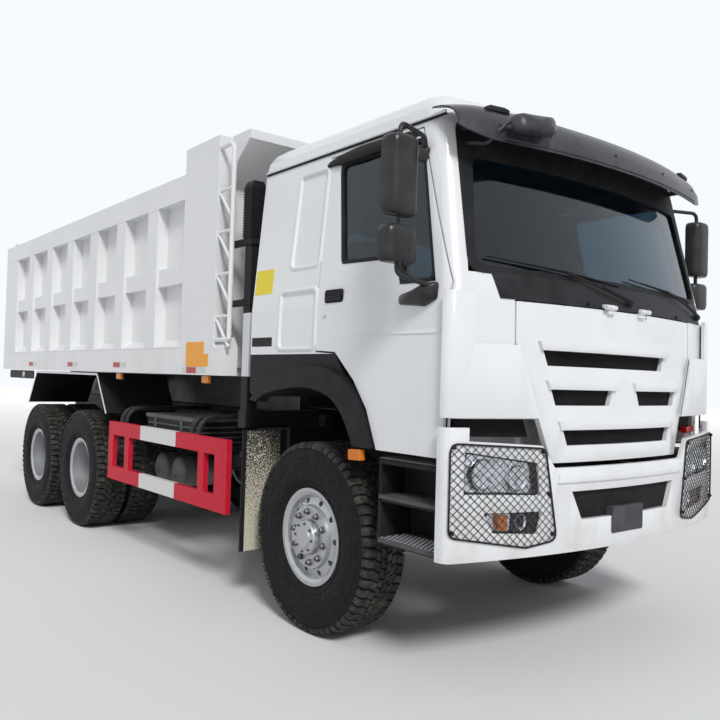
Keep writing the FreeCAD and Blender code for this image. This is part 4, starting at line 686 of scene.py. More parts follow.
def lamp_unit(side, word):
    bowls = bmesh.new()
    bulbs = bmesh.new()
    lens = bmesh.new()
    for points, spots in ((LAMP_MAIN, MAIN_BOWLS), (LAMP_FOG, FOG_BOWLS)):
        front_sheet(lens, shrunk(rounded_loop(points, 0.02), 0.001), BUMPER_FRONT, 0.006, 0.009, side)
        for x, z, radius in spots:
            centre = on_bow([(x, z)], BUMPER_FRONT, 0.020, side)[0]
            dish = [(0.4 * radius * (1 - math.cos(t)), radius * math.sin(t)) for t in DISH_TURNS]
            rim = [(0.026 - dish[-1][0], radius + 0.004), (0.034, radius + 0.005), (0.034, 0.0)]
            add_turned(bowls, [(0.030 - depth, r) for depth, r in dish] + rim, centre, 40, "Y")
            add_turned(bulbs, BULB, centre, 20, "Y")
    finished("lamp_bowls_" + word, bowls, CHROME, "chassis", smooth=40.0)
    finished("lamp_bulbs_" + word, bulbs, LENS, "chassis", smooth=40.0)
    finished("lamp_lens_" + word, lens, LENS, "chassis", smooth=40.0)
    amber = bmesh.new()
    front_sheet(amber, LAMP_TURN, BUMPER_FRONT, 0.014, 0.030, side)
    finished("lamp_turn_" + word, amber, AMBER, "chassis", 0.001)


def clipped(points, slope, shift):
    """The stretch of the line z = slope * x + shift that lies inside a convex outline."""
    cuts = []
    for (x, z), (u, w) in zip(points, points[1:] + points[:1]):
        first, second = z - slope * x - shift, w - slope * u - shift
        if (first > 0) != (second > 0):
            share = first / (first - second)
            cuts.append((x + (u - x) * share, z + (w - z) * share))
    return cuts if len(cuts) == 2 else None


def lattice(work, outline, spacing, radius, front, depth, slope, side=1):
    """Diamond wire mesh over an outline on the bowed front."""
    spread = [z - way * x for way in (slope, -slope) for x, z in outline]
    for way in (slope, -slope):
        shift = min(spread)
        while shift < max(spread):
            stretch = clipped(outline, way, shift)
            shift += spacing * math.hypot(1, slope)
            if stretch:
                (x, z), (u, w) = stretch
                count = max(1, int(abs(u - x) / 0.12))
                route = [(x + (u - x) * k / count, z + (w - z) * k / count) for k in range(count + 1)]
                add_rod(work, on_bow(route, front, depth, side), radius, 5)


def guard_wires():
    """Both wire guards: a bent rim round a diamond lattice."""
    wires = bmesh.new()
    rim = divided(rounded_loop(GUARD_EDGE, 0.045, 6), 0.06)
    for side, _ in SIDES:
        add_rod(wires, on_bow(rim, BUMPER_FRONT, GUARD_DEPTH, side), 0.0048, 8, True)
        lattice(wires, shrunk(GUARD_EDGE, 0.004), 0.030, 0.0019, BUMPER_FRONT, GUARD_DEPTH, 0.9, side)
    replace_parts(finished("guard_wires", wires, PLASTIC, "chassis", smooth=60.0), "lamp_guards")


def guard_screws(side, word):
    screws = bmesh.new()
    profile = [(-0.020, 0.0), (-0.020, 0.006), (-0.016, 0.010), (0.0, 0.010), (0.0, 0.0)]
    for centre in on_bow(GUARD_SCREWS, BUMPER_FRONT, 0.0, side):
        add_turned(screws, profile, centre, 14, "Y")
    finished("guard_screws_" + word, screws, PLASTIC, "chassis", smooth=30.0)


lamp_casing()
both(lamp_unit)
guard_wires()
both(guard_screws)


# Cab front: grilles, screen edge, wipers, visor lamps, dome mirror

# The flap's four openings: their foot, top, left and right end
SLOTS = ((1.600, 1.678, -0.655, 0.440), (1.398, 1.480, -0.600, -0.115), (1.398, 1.480, 0.115, 0.600),
         (1.192, 1.272, -0.515, 0.515))
SCREEN_OUTER = ((-1.089, 2.043), (1.089, 2.043), (1.034, 2.846), (-1.034, 2.846))
SCREEN_INNER = ((-1.046, 2.082), (1.046, 2.082), (0.964, 2.648), (-0.964, 2.648))
COWL_EDGE = ((-0.93, 1.922), (1.060, 1.922), (1.080, 1.960), (1.084, 2.050), (-0.96, 2.050), (-0.945, 1.990))
COWL_MIDDLE = 1.985
# The visor's levels from its foot to its top, and how far back each lies
VISOR_STEPS = ((2.695, 0.014), (2.765, 0.022), (2.830, 0.052), (2.875, 0.096), (2.903, 0.150))
VISOR_FOOT = VISOR_STEPS[0][0]
VISOR_TOP = VISOR_STEPS[-1][0]
VISOR_HALF = 1.150
VISOR_BEND = 0.930
VISOR_STAYS = (-0.99, -0.33, 0.33, 0.99)
VISOR_SCREWS = (-0.94, -0.62, -0.1, 0.42, 0.90)
SCREW_HEIGHT = 2.775
LIP_HEIGHT = 2.712
DOME_LEVELS = ((0.030, 0.80), (0.024, 0.97), (0.006, 1.0), (-0.030, 0.93), (-0.050, 0.70), (-0.060, 0.30))


def grilles():
    backs = bmesh.new()
    wires = bmesh.new()
    for low, high, left, right in SLOTS:
        front = CAB_FRONT + lean(low)
        back = [(left - 0.012, high + 0.010), (left + 0.020, low - 0.012), (right - 0.020, low - 0.012),
                (right + 0.012, high + 0.010)]
        front_sheet(backs, back, front, 0.031, 0.034)
        opening = [(left + 0.002, high), (left + 0.032, low), (right - 0.032, low), (right - 0.002, high)]
        lattice(wires, opening, 0.011, 0.0012, front, 0.026, 0.6)
    finished("grille_backs", backs, GRILLE, "flap")
    finished("grille_mesh", wires, PLASTIC, "flap", smooth=60.0)


def screen_edge():
    seal = bmesh.new()
    outer = divided(rounded_loop(SCREEN_OUTER, 0.075), parts=12)
    inner = divided(rounded_loop(SCREEN_INNER, 0.050), parts=12)
    add_loft(seal, [on_cab(ring, depth) for ring, depth in
                    ((outer, -0.004), (inner, -0.004), (inner, 0.0118), (outer, 0.0118))], looped=True)
    finished("screen_seal", seal, SEAL, "cab", smooth=50.0)
    cowl = bmesh.new()
    edge = divided(COWL_EDGE, parts=14)
    core = divided([(0.9 * x, COWL_MIDDLE + 0.3 * (z - COWL_MIDDLE)) for x, z in COWL_EDGE], parts=14)
    rows = add_loft(cowl, [on_cab(edge, 0.002), on_cab(edge, -0.005), on_cab(core, -0.006)], capped=False)
    bmesh.ops.triangulate(cowl, faces=[cowl.faces.new(rows[-1])])
    finished("cowl", cowl, COWL, "cab", smooth=40.0)


def wiper(work, pivot, knee, tip):
    """Arm and blade that lie along the foot of the screen."""
    profile = [(-0.022, 0.0), (-0.022, 0.014), (-0.014, 0.020), (0.010, 0.022), (0.010, 0.0)]
    add_turned(work, profile, on_cab([pivot], -0.012)[0], 20, "Y")
    elbow = ((pivot[0] + knee[0]) / 2, (pivot[1] + knee[1]) / 2)
    arm = on_cab([pivot], -0.030) + on_cab([elbow], -0.034) + on_cab([knee], -0.026)
    add_rod(work, arm, 0.0065, 6)
    add_rod(work, [(x, y - 0.006, z + 0.008) for x, y, z in arm[:2]], 0.004, 6)

    def on_blade(share, out):
        spot = [a + 2 * (b - a) * share for a, b in zip(tip, knee)]
        return on_cab([spot], -out)[0]

    add_rod(work, [on_blade(k / 8, 0.010 - 0.006 * math.sin(math.pi * k / 8)) for k in range(9)], 0.0045, 6)
    spine = ((0.15, 0.010), (0.32, 0.018), (0.5, 0.024), (0.68, 0.018), (0.85, 0.010))
    add_rod(work, [on_blade(share, out) for share, out in spine], 0.004, 6)


def wipers():
    work = bmesh.new()
    wiper(work, (0.038, 1.968), (-0.500, 2.095), (-0.975, 2.128))
    wiper(work, (1.002, 1.965), (0.510, 2.085), (0.089, 2.112))
    finished("wipers", work, PLASTIC, "cab", smooth=50.0)
    jets = bmesh.new()
    profile = [(-0.016, 0.0), (-0.016, 0.008), (-0.006, 0.013), (0.004, 0.013), (0.004, 0.0)]
    for centre in on_cab([(-0.33, 1.935), (0.62, 1.935)], 0.0):
        add_turned(jets, profile, centre, 14, "Y")
    finished("washer_jets", jets, PLASTIC, "cab")


def visor_face(x, z):
    """The visor's outer face."""
    for (low, near), (high, far) in zip(VISOR_STEPS, VISOR_STEPS[1:]):
        if z <= high:
            return bow(x, CAB_FRONT + near + (far - near) * (z - low) / (high - low))


def visor_shell():
    """The visor as one bowed sheet whose ends are drawn back and rounded."""
    work = bmesh.new()
    rings = []
    for k in range(49):
        x = VISOR_HALF * math.sin(math.radians(180 * k / 48 - 90))
        end = max(0.0, (abs(x) - VISOR_BEND) / (VISOR_HALF - VISOR_BEND)) ** 2
        low, high = VISOR_FOOT + 0.060 * end, VISOR_TOP - 0.020 * end
        squeeze = (high - low) / (VISOR_TOP - VISOR_FOOT)
        outer = [(bow(x, CAB_FRONT + back) + 0.035 * end, low + squeeze * (z - VISOR_FOOT))
                 for z, back in VISOR_STEPS]
        outer.append((outer[-1][0] + 0.055, outer[-1][1] + 0.006))
        inner = [(y + 0.010, z - 0.008 * i / 5) for i, (y, z) in enumerate(outer)]
        rings.append([(x, y, z) for y, z in outer + inner[::-1]])
    add_loft(work, rings)
    for x in VISOR_STAYS:
        y = bow(x, CAB_FRONT)
        add_block(work, (x - 0.012, y + 0.066, 2.790), (x + 0.012, y + 0.225, 2.816))
    piece = finished("visor_shell", work, VISOR_GREY, "cab", smooth=40.0)
    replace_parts(piece, "sun_visor")


def visor_parts():
    bases = bmesh.new()
    lenses = bmesh.new()
    for x, degrees in ((-0.90, -12), (0.90, 12)):
        y = visor_face(x, 2.868) + 0.012
        cosine, sine = math.cos(math.radians(degrees)), math.sin(math.radians(degrees))
        for work, span, low, high, depth in ((bases, 0.072, 2.866, 2.889, 0.045),
                                             (lenses, 0.058, 2.873, 2.896, 0.034)):
            ring = rounded_loop(rect(-span, span, -depth / 2, depth / 2), 0.014)
            levels = ((low, 1.0), (high - 0.006, 1.0), (high, 0.88))
            add_loft(work, [[(x + share * (a * cosine - b * sine), y + share * (a * sine + b * cosine), z)
                             for a, b in ring] for z, share in levels])
    finished("visor_lamp_bases", bases, PLASTIC, "cab", 0.001)
    finished("visor_lamp_lenses", lenses, SMOKE, "cab", 0.002)
    screws = bmesh.new()
    profile = [(-0.004, 0.0), (-0.004, 0.006), (-0.001, 0.010), (0.005, 0.010), (0.005, 0.0)]
    for x in VISOR_SCREWS:
        add_turned(screws, profile, (x, visor_face(x, SCREW_HEIGHT), SCREW_HEIGHT), 12, "Y")
    finished("visor_screws", screws, PLASTIC, "cab")
    lip = bmesh.new()
    spots = [0.093 * k - 0.93 for k in range(21)]
    add_rod(lip, [(x, visor_face(x, LIP_HEIGHT) - 0.001, LIP_HEIGHT) for x in spots], 0.005, 6)
    finished("visor_lip", lip, VISOR_GREY, "cab", smooth=50.0)


def dome_mirror():
    """Small front mirror on a bent arm, ahead of the near corner of the screen."""
    x, y, z = -0.800, FRONT_AXLE - 1.312, 2.790
    ring = rounded_loop(rect(-0.15, 0.15, -0.045, 0.040), 0.042, 8)
    work = bmesh.new()
    add_loft(work, [[(x + share * a + 0.05 * b, y + out + 0.20 * b * share, z + share * b * 1.15 + 0.12 * a)
                     for a, b in ring] for out, share in DOME_LEVELS])
    foot = (on_cab([(x - 0.185, 2.72)], 0.01)[0][1], 2.725)
    arm = [(x - 0.06, y + 0.02, z - 0.005), (x - 0.11, y + 0.055, z + 0.010), (x - 0.165, y + 0.09, z - 0.05),
           (x - 0.185, y + 0.14, z - 0.105), (x - 0.185, *foot)]
    add_rod(work, rounded(arm, 0.05), 0.010, 10)
    finished("dome_mirror_shell", work, VISOR_GREY, "cab", smooth=50.0)
    glass = bmesh.new()
    add_loft(glass, [[(x + 0.86 * a, y + out + 0.2 * b, z + 0.86 * (1.15 * b + 0.12 * a)) for a, b in ring]
                     for out in (0.031, 0.034)])
    finished("dome_mirror_glass", glass, MIRROR_GLASS, "cab")


grilles()
screen_edge()
wipers()
visor_shell()
visor_parts()
dome_mirror()


# Cab sides; outlines give (y, z), with y from the front axle

WINDOW = ((-0.270, 2.155), (-0.765, 2.138), (-0.785, 1.998), (-1.050, 1.995), (-0.870, 2.760),
          (-0.165, 2.760))
WINDOW_INNER = ((-0.288, 2.176), (-0.788, 2.160), (-0.806, 2.019), (-1.028, 2.016), (-0.855, 2.740),
                (-0.189, 2.740))
# The shade over the window: places along it with its depth, reach and height, and its section
SHADE_PLACES = ((-0.010, 0.006, 0.003, 2.772), (-0.05, 0.030, 0.016, 2.790), (-0.16, 0.056, 0.030, 2.806),
                (-0.34, 0.068, 0.036, 2.816), (-0.55, 0.060, 0.034, 2.815), (-0.72, 0.044, 0.026, 2.806),
                (-0.830, 0.020, 0.010, 2.795))
SHADE_SECTION = ((0.0, -0.28), (0.55, -0.10), (1.0, 0.35), (1.05, 0.85), (0.85, 1.0), (0.35, 0.9),
                 (0.0, 0.95))
CREASE_HEIGHT = 1.742
GUTTER_HEIGHT = 2.846
ARCH_LAMP = ((-0.556, 1.070), (-0.452, 1.066), (-0.448, 1.124), (-0.550, 1.130))
RECESS_UPPER = ((-0.028, 2.178), (0.225, 2.178), (0.249, 2.200), (0.235, 2.740), (0.215, 2.760),
                (-0.035, 2.760), (-0.050, 2.740), (-0.050, 2.200))
RECESS_LOWER = ((-0.030, 1.680), (0.315, 1.680), (0.336, 1.700), (0.330, 2.012), (0.310, 2.032),
                (-0.030, 2.032), (-0.050, 2.012), (-0.050, 1.700))
BEAD = ((0.024, -0.003), (0.018, 0.003), (0.010, 0.0075), (0.001, 0.009), (-0.007, 0.006), (-0.012, -0.010))


def on_side(points, out, side):
    """(y, z) points laid on the cab's side, moved outwards by a distance."""
    return [(side * (side_x(z) + out), FRONT_AXLE + y, z) for y, z in points]


def side_plate(work, side, x, outline, thick, radius=0.01, along=FRONT_AXLE):
    """A thin plate on the side of the cab or body."""
    ring = [(along + y, z) for y, z in rounded_loop(outline, radius, 4)]
    add_prism(work, ring, side * x, side * (x + thick))


def door_dress(side, word):
    body = "side_door_" + word
    seal = bmesh.new()
    outer, inner = rounded_loop(WINDOW, 0.045), rounded_loop(WINDOW_INNER, 0.035)
    add_loft(seal, [on_side(ring, out, side) for ring, out in
                    ((outer, 0.0035), (inner, 0.0015), (inner, -0.012), (outer, -0.012))], looped=True)
    finished("door_seal_" + word, seal, SEAL, body, smooth=40.0)
    shade = bmesh.new()
    add_loft(shade, [[(side * (side_x(z) - 0.004 + a * reach), FRONT_AXLE + y, z - b * depth)
                      for a, b in SHADE_SECTION] for y, depth, reach, z in SHADE_PLACES])
    finished("window_shade_" + word, shade, SEAL, body, smooth=60.0)
    cup = bmesh.new()
    side_plate(cup, side, CAB_HALF - 0.002, rect(-0.318, -0.146, 1.936, 2.012), 0.0045, 0.02)
    finished("handle_cup_" + word, cup, SEAL, body, 0.001)
    grip = bmesh.new()
    side_plate(grip, side, CAB_HALF + 0.001, rect(-0.306, -0.158, 1.944, 1.974), 0.010, 0.012)
    finished("handle_grip_" + word, grip, PLASTIC, body, 0.004)
    lock = bmesh.new()
    profile = [(-0.002, 0.0), (0.005, 0.0), (0.005, 0.008), (0.003, 0.013), (-0.002, 0.013)]
    add_turned(lock, outward(profile, side), (side * CAB_HALF, FRONT_AXLE - 0.148, 1.862), 20)
    finished("door_lock_" + word, lock, STEEL, body, smooth=30.0)
    crease = bmesh.new()
    add_loft(crease, [[(side * (CAB_HALF + out), FRONT_AXLE + y, CREASE_HEIGHT + rise) for out, rise in
                       ((-0.003, high), (0.2 * high + 0.0004, 0.0), (-0.003, -0.0015))]
                      for y, high in ((-1.110, 0.030), (-0.85, 0.024), (-0.55, 0.014), (-0.26, 0.003))])
    finished("door_crease_" + word, crease, CAB_WHITE, body, smooth=60.0)


def cab_side_dress(side, word):
    # Drip rail over the door: the rail's shape is real, but its black rod is painted shade for the groove
    # under the white lip.
    gutter = bmesh.new()
    route = on_side([(y, GUTTER_HEIGHT) for y in (-1.02, -0.6, -0.2, 0.2, 0.6, 0.655)], 0.004, side)
    add_rod(gutter, route, 0.007, 6)
    finished("drip_rail_groove_shade_" + word, gutter, SEAL, "cab", smooth=50.0)
    gutter_lip = bmesh.new()
    add_rod(gutter_lip, [(x + side * 0.004, y, z + 0.012) for x, y, z in route], 0.008, 6)
    finished("gutter_lip_" + word, gutter_lip, CAB_WHITE, "cab", smooth=50.0)
    plate = bmesh.new()
    side_plate(plate, side, CAB_HALF - 0.004, rect(0.413, 0.655, 1.696, 1.754), 0.0055, 0.004)
    finished("blank_plate_" + word, plate, PLATE_BLACK, "cab", 0.001)
    label = bmesh.new()
    add_loft(label, [on_side(rect(0.444, 0.652, 2.036, 2.196), out, side) for out in (-0.004, 0.0018)])
    finished("blank_label_" + word, label, YELLOW, "cab")
    arch_lamp = bmesh.new()
    add_prism(arch_lamp, [(FRONT_AXLE + y, z) for y, z in ARCH_LAMP], side * 1.200, side * 1.240)
    finished("arch_lamp_" + word, arch_lamp, AMBER, "cab", 0.006)


def pressed_panels(side, word):
    """Raised beads round the two pressings behind the door, and in front of it a black strip in the shut
    line: painted shade for the gap.
    """
    work = bmesh.new()
    for outline in (RECESS_UPPER, RECESS_LOWER):
        edge = [Vector(point) for point in rounded_loop(outline, 0.03, 4)]
        rings = []
        for i, place in enumerate(edge):
            ahead = edge[(i + 1) % len(edge)] - edge[i - 1]
            out = Vector((ahead.y, -ahead.x)).normalized()
            rings.append([on_side([place + out * across], high, side)[0] for across, high in BEAD])
        add_loft(work, rings, looped=True)
    finished("pressing_beads_" + word, work, CAB_WHITE, "cab", smooth=70.0)
    # Painted shade: a thin black strip where the gap between door and corner panel falls in shadow.
    gap_shade = bmesh.new()
    side_plate(gap_shade, side, CAB_HALF - 0.004, rect(-1.1585, -1.1500, 1.240, 1.920), 0.0046, 0.001)
    finished("shut_line_shade_" + word, gap_shade, SEAL, "cab")


both(door_dress)
both(cab_side_dress)
both(pressed_panels)


# Door mirrors on their bent arms

MIRROR_X = CAB_HALF + 0.205
MIRROR_BACK = FRONT_AXLE - 0.965
MIRROR_POST = FRONT_AXLE - 1.000
# The two heads' foot, top, half width and depth, and the foot, top and half width of their glasses
MIRROR_HEADS = ((2.290, 2.668, 0.092, 0.100), (2.062, 2.238, 0.102, 0.090))
MIRROR_GLASSES = ((2.318, 2.640, 0.076), (2.088, 2.212, 0.084))
# A head's levels from either end, each with its share of the full section
HEAD_STEPS = ((0.0, 0.80), (0.006, 0.90), (0.016, 0.965), (0.034, 1.0), (0.060, 1.0))
LOWER_FOOT = ((-0.800, 1.892), (-0.985, 1.872), (-1.072, 1.905), (-1.076, 1.990), (-0.990, 1.988),
              (-0.905, 1.958), (-0.800, 1.936))
LOWER_LEVELS = ((-0.004, 1.0), (0.012, 1.0), (0.028, 0.88), (0.050, 0.60), (0.062, 0.34))
UPPER_FOOT = ((-0.835, 2.640), (-0.905, 2.615), (-0.925, 2.690), (-0.850, 2.712))
UPPER_LEVELS = ((-0.006, 1.0), (0.010, 1.0), (0.024, 0.72), (0.034, 0.42))
COLLAR = ((-0.010, 0.0), (-0.010, 0.020), (0.010, 0.020), (0.010, 0.0))


def mirror_ring(x, z, half, deep, share):
    """A level of a mirror housing: flat to the rear, bulged to the front."""
    section = []
    for k in range(29):
        turn = math.pi * k / 28
        across = math.copysign(abs(math.cos(turn)) ** 0.55, math.cos(turn)) * half
        section.append((across, MIRROR_BACK - 0.006 - (deep - 0.006) * math.sin(turn) ** 0.62))
    section += [(-0.94 * half, MIRROR_BACK), (0.94 * half, MIRROR_BACK)]
    return [(x + a, y, z) for a, y in scaled_about(section, (0, MIRROR_BACK - 0.42 * deep), share)]


def add_head(work, x, low, high, half, deep):
    levels = [(low + rise, share) for rise, share in HEAD_STEPS] + [((low + high) / 2, 1.0)]
    levels += [(high - rise, share) for rise, share in reversed(HEAD_STEPS)]
    add_loft(work, [mirror_ring(x, z, half, deep, share) for z, share in levels])


def mirror_set(side, word):
    work = bmesh.new()
    x, post = side * MIRROR_X, MIRROR_POST
    for head in MIRROR_HEADS:
        add_head(work, x, *head)
    upper_arm = [(side * (CAB_HALF - 0.095), FRONT_AXLE - 0.870, 2.665),
                 (side * (CAB_HALF - 0.02), FRONT_AXLE - 0.930, 2.735), (x, post, 2.742), (x, post, 2.640)]
    lower_arm = [(x, post, 2.080), (x, post, 2.010), (side * (CAB_HALF + 0.045), FRONT_AXLE - 1.045, 1.972)]
    for route in (rounded(upper_arm, 0.05), [(x, post, 2.300), (x, post, 2.230)], rounded(lower_arm, 0.05)):
        add_rod(work, route, 0.0125, 12)
    add_rod(work, rounded([(x - side * 0.035, post + 0.01, 2.075), (x - side * 0.045, post + 0.005, 2.030),
                           (side * (CAB_HALF + 0.04), FRONT_AXLE - 1.020, 1.965)], 0.04), 0.007)
    for z in (2.322, 2.208):
        add_turned(work, COLLAR, (x, post, z), 20, "Z")
    for foot, radius, middle, skin, levels in (
            (LOWER_FOOT, 0.022, (-1.010, 1.945), CAB_HALF, LOWER_LEVELS),
            (UPPER_FOOT, 0.016, (-0.880, 2.664), side_x(2.66), UPPER_LEVELS)):
        ring = rounded_loop(foot, radius)
        rings = [(side * (skin + out), scaled_about(ring, middle, share)) for out, share in levels]
        add_loft(work, [[(across, FRONT_AXLE + y, z) for y, z in drawn] for across, drawn in rings])
    piece = finished("mirror_housing_" + word, work, MIRROR_BLACK, "side_door_" + word, smooth=42.0)
    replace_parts(piece, "mirror_" + word)
    glass = bmesh.new()
    for low, high, half in MIRROR_GLASSES:
        ring = rounded_loop(rect(-half, half, low, high), 0.022)
        add_loft(glass, [[(x + a, MIRROR_BACK + out, z) for a, z in ring] for out in (-0.0005, 0.004)])
    finished("mirror_glass_" + word, glass, MIRROR_GLASS, "side_door_" + word)


both(mirror_set)


# Lower front: lining behind the corner panels, bumper mouth, plate holder, red marker

LINING = ((1.112, 1.345), (0.715, 1.345), (0.672, 1.232), (1.112, 1.240))
MOUTH = ((0.500, 0.970), (-0.500, 0.970), (-0.428, 0.808), (0.428, 0.808))
MARKER = ((1.085, 1.262), (0.905, 1.256), (0.915, 1.218), (1.085, 1.222))


def lower_front():
    lining = bmesh.new()
    for side, _ in SIDES:
        front_sheet(lining, LINING, CAB_FRONT, 0.082, 0.090, side)
    finished("corner_lining", lining, GRILLE, "cab")
    mouth = bmesh.new()
    front_sheet(mouth, MOUTH, BUMPER_FRONT, 0.030, 0.036)
    finished("mouth_panel", mouth, GRILLE, "chassis")
    holder = bmesh.new()
    ring = rounded_loop(rect(-0.172, 0.122, 0.722, 0.862), 0.012)
    add_loft(holder, [[(x, BUMPER_FRONT + depth, z) for x, z in ring] for depth in (-0.004, 0.042)])
    profile = [(-0.008, 0.0), (-0.008, 0.007), (-0.003, 0.009), (-0.003, 0.0)]
    for x in (-0.120, 0.070):
        add_turned(holder, profile, (x, BUMPER_FRONT, 0.840), 12, "Y")
    finished("plate_holder", holder, PLATE_DARK, "chassis", 0.002)
    marker = bmesh.new()
    front_sheet(marker, MARKER, CAB_FRONT, 0.034, 0.078)
    finished("far_marker", marker, RED_LENS, "cab", 0.003)


lower_front()


# Steps, mud flaps, fender edges, side boards

STEP_EDGE = 1.196
STUD_PITCH = 0.0295
STUD_ROWS = [1.030 + 0.026 * k for k in range(7)]
TOP_RIBS = [1.045 + 0.034 * k for k in range(5)]
STEP_NEAR, STEP_FAR = FRONT_AXLE - 1.095, FRONT_AXLE - 0.680
FLAP_LOW, FLAP_HIGH = 0.347, 1.140
FLAP_INNER = 0.935
FLAP_FACE = FRONT_AXLE + 0.6885
FLAP_BACK = FRONT_AXLE + 0.6898


def steps_dress(side, word):
    treads = bmesh.new()
    studs = bmesh.new()
    for z, low, pins in ((0.681, 0.965, studs), (0.901, 1.015, treads)):
        add_block(treads, (side * low, STEP_NEAR, z), (side * STEP_EDGE, STEP_FAR, z + 0.005))
        for row, x in enumerate(STUD_ROWS):
            for k in range(14 - row % 2):
                spot = (side * x, STEP_NEAR + 0.015 + k * STUD_PITCH + 0.015 * (row % 2), z)
                add_turned(pins, [(0.004, 0.0), (0.004, 0.010), (0.007, 0.008), (0.007, 0.0)], spot, 6, "Z")
    add_block(treads, (side * 1.020, STEP_NEAR - 0.01, 1.0945), (side * STEP_EDGE, STEP_FAR + 0.01, 1.0995))
    for x in TOP_RIBS:
        add_block(treads, (side * x, STEP_NEAR, 1.099), (side * (x + 0.012), STEP_FAR, 1.1025))
    for z in (0.660, 0.886):
        add_block(treads, (side * 1.189, STEP_NEAR - 0.01, z), (side * 1.1955, STEP_FAR + 0.01, z + 0.020))
    finished("step_treads_" + word, treads, STEP_GREY, "chassis", smooth=30.0)
    finished("step_studs_" + word, studs, ALUMINIUM, "chassis", smooth=30.0)


def flap_skin(side, word):
    """The mud flap's face, a sheet that bellies out a little between its edges."""
    work = bmesh.new()
    columns, levels = 6, 12
    sheets = ([], [])
    for k in range(levels + 1):
        z = FLAP_LOW + (FLAP_HIGH - FLAP_LOW) * k / levels
        belly = FLAP_FACE - 0.006 * math.sin(math.pi * k / levels)
        spots = [(side * (FLAP_INNER + (STEP_EDGE - FLAP_INNER) * c / columns),
                  belly - 0.002 * math.sin(2.2 * math.pi * c / columns)) for c in range(columns + 1)]
        sheets[0].append([work.verts.new((x, y, z)) for x, y in spots])
        sheets[1].append([work.verts.new((x, FLAP_BACK, z)) for x, y in spots])
    rims = []
    for rows in sheets:
        for first, second in zip(rows, rows[1:]):
            for c in range(columns):
                work.faces.new((first[c], first[c + 1], second[c + 1], second[c]))
        rising, falling = [row[-1] for row in rows[1:-1]], [row[0] for row in rows[-2:0:-1]]
        rims.append(rows[0] + rising + rows[-1][::-1] + falling)
    front, back = rims
    for i in range(len(front)):
        work.faces.new((front[i - 1], front[i], back[i], back[i - 1]))
    finished("flap_skin_" + word, work, FLAP_CREAM, "chassis", smooth=60.0)


def inset_route(points, width):
    """Points moved sideways by a width along an open route, with mitred corners."""
    moved = []
    for i, point in enumerate(points):
        here = Vector(point)
        come = (here - Vector(points[i - 1])).normalized() if i else None
        leave = (Vector(points[i + 1]) - here).normalized() if i < len(points) - 1 else None
        first, second = come or leave, leave or come
        normal = Vector((first.y + second.y, -first.x - second.x)).normalized()
        moved.append(tuple(here + normal * width / max(0.3, normal.dot(Vector((first.y, -first.x))))))
    return moved


def fender_dress(side, word):
    route = [(MID_AXLE - 0.712, 1.130), (MID_AXLE - 0.446, 1.488), (REAR_AXLE + 0.099, 1.488),
             (REAR_AXLE + 0.371, 1.130)]
    edge = bmesh.new()
    add_prism(edge, route + inset_route(route, 0.020)[::-1], side * 1.2345, side * 1.2385)
    finished("fender_edge_" + word, edge, BED_WHITE, "chassis", 0.001)
    board = bmesh.new()
    side_plate(board, side, 1.224, rect(0.225, 1.200, 1.398, 1.492), 0.010, 0.03, REAR_AXLE)
    finished("side_board_" + word, board, CHASSIS, "bed", 0.002)
    lamp_piece = bmesh.new()
    profile = [(0.0, 0.0), (0.0, 0.036), (0.006, 0.036), (0.014, 0.026), (0.017, 0.0)]
    add_turned(lamp_piece, outward(profile, side), (side * 1.232, REAR_AXLE + 0.605, 1.446), 28)
    finished("round_lamp_" + word, lamp_piece, LENS_PALE, "bed", smooth=40.0)


both(steps_dress)
both(flap_skin)
both(fender_dress)


# Body side: blank plates, tapes, lamps, joints of the pressed panels

TAPE_PLACES = ((1.353, 1.512), (2.800, 1.545), (4.035, 1.545), (5.380, 1.545))
TAPE_HALF, TAPE_HIGH, TAPE_THICK = 0.150, 0.044, 0.0025
PANEL_SEAMS = (1.704, 2.828)


def bed_dress(side, word):
    skin = BED_HALF - 0.001
    plate = bmesh.new()
    side_plate(plate, side, skin, rect(1.238, 1.518, 1.560, 1.740), 0.0035, 0.006)
    side_plate(plate, side, skin, rect(1.166, 1.240, 1.562, 1.651), 0.0032, 0.002)
    finished("orange_plate_" + word, plate, ORANGE, "bed", 0.0008)
    white = bmesh.new()
    red = bmesh.new()
    for middle, low in TAPE_PLACES:
        joint = middle - 0.005
        for work, left, right in ((red, joint, middle + TAPE_HALF), (white, middle - TAPE_HALF, joint)):
            side_plate(work, side, skin, rect(left, right, low, low + TAPE_HIGH), TAPE_THICK, 0.001)
    side_plate(white, side, skin, rect(1.504, 1.570, 1.512, 1.512 + TAPE_HIGH), TAPE_THICK, 0.001)
    finished("tape_white_" + word, white, TAPE_WHITE, "bed")
    finished("tape_red_" + word, red, TAPE_RED, "bed")
    ambers = bmesh.new()
    feet = bmesh.new()
    for y in (1.230, 2.850):
        for work, half, low, high, near, far in ((ambers, 0.050, 1.442, 1.496, 1.212, 1.240),
                                                 (feet, 0.058, 1.436, 1.4995, 1.200, 1.214)):
            ring = rounded_loop(rect(y - half, y + half, low, high), 0.012)
            add_prism(work, [(FRONT_AXLE + a, z) for a, z in ring], side * near, side * far)
    finished("side_lamps_" + word, ambers, AMBER, "bed", 0.003)
    finished("side_lamp_feet_" + word, feet, PLASTIC, "bed", 0.001)
    seams = bmesh.new()
    for y in (1.108, 1.612):
        route = [(side * (BED_HALF - 0.002), FRONT_AXLE + y, z) for z in (1.71, 2.2, 2.7, 2.99)]
        add_rod(seams, route, 0.004, 6)
    for z in PANEL_SEAMS:
        add_rod(seams, [(side * skin, FRONT_AXLE + y, z) for y in (1.62, 3.0, 4.5, 6.60)], 0.0045, 6)
    finished("weld_seams_" + word, seams, BED_WHITE, "bed", smooth=60.0)


both(bed_dress)


# Boxes and tanks on the frame

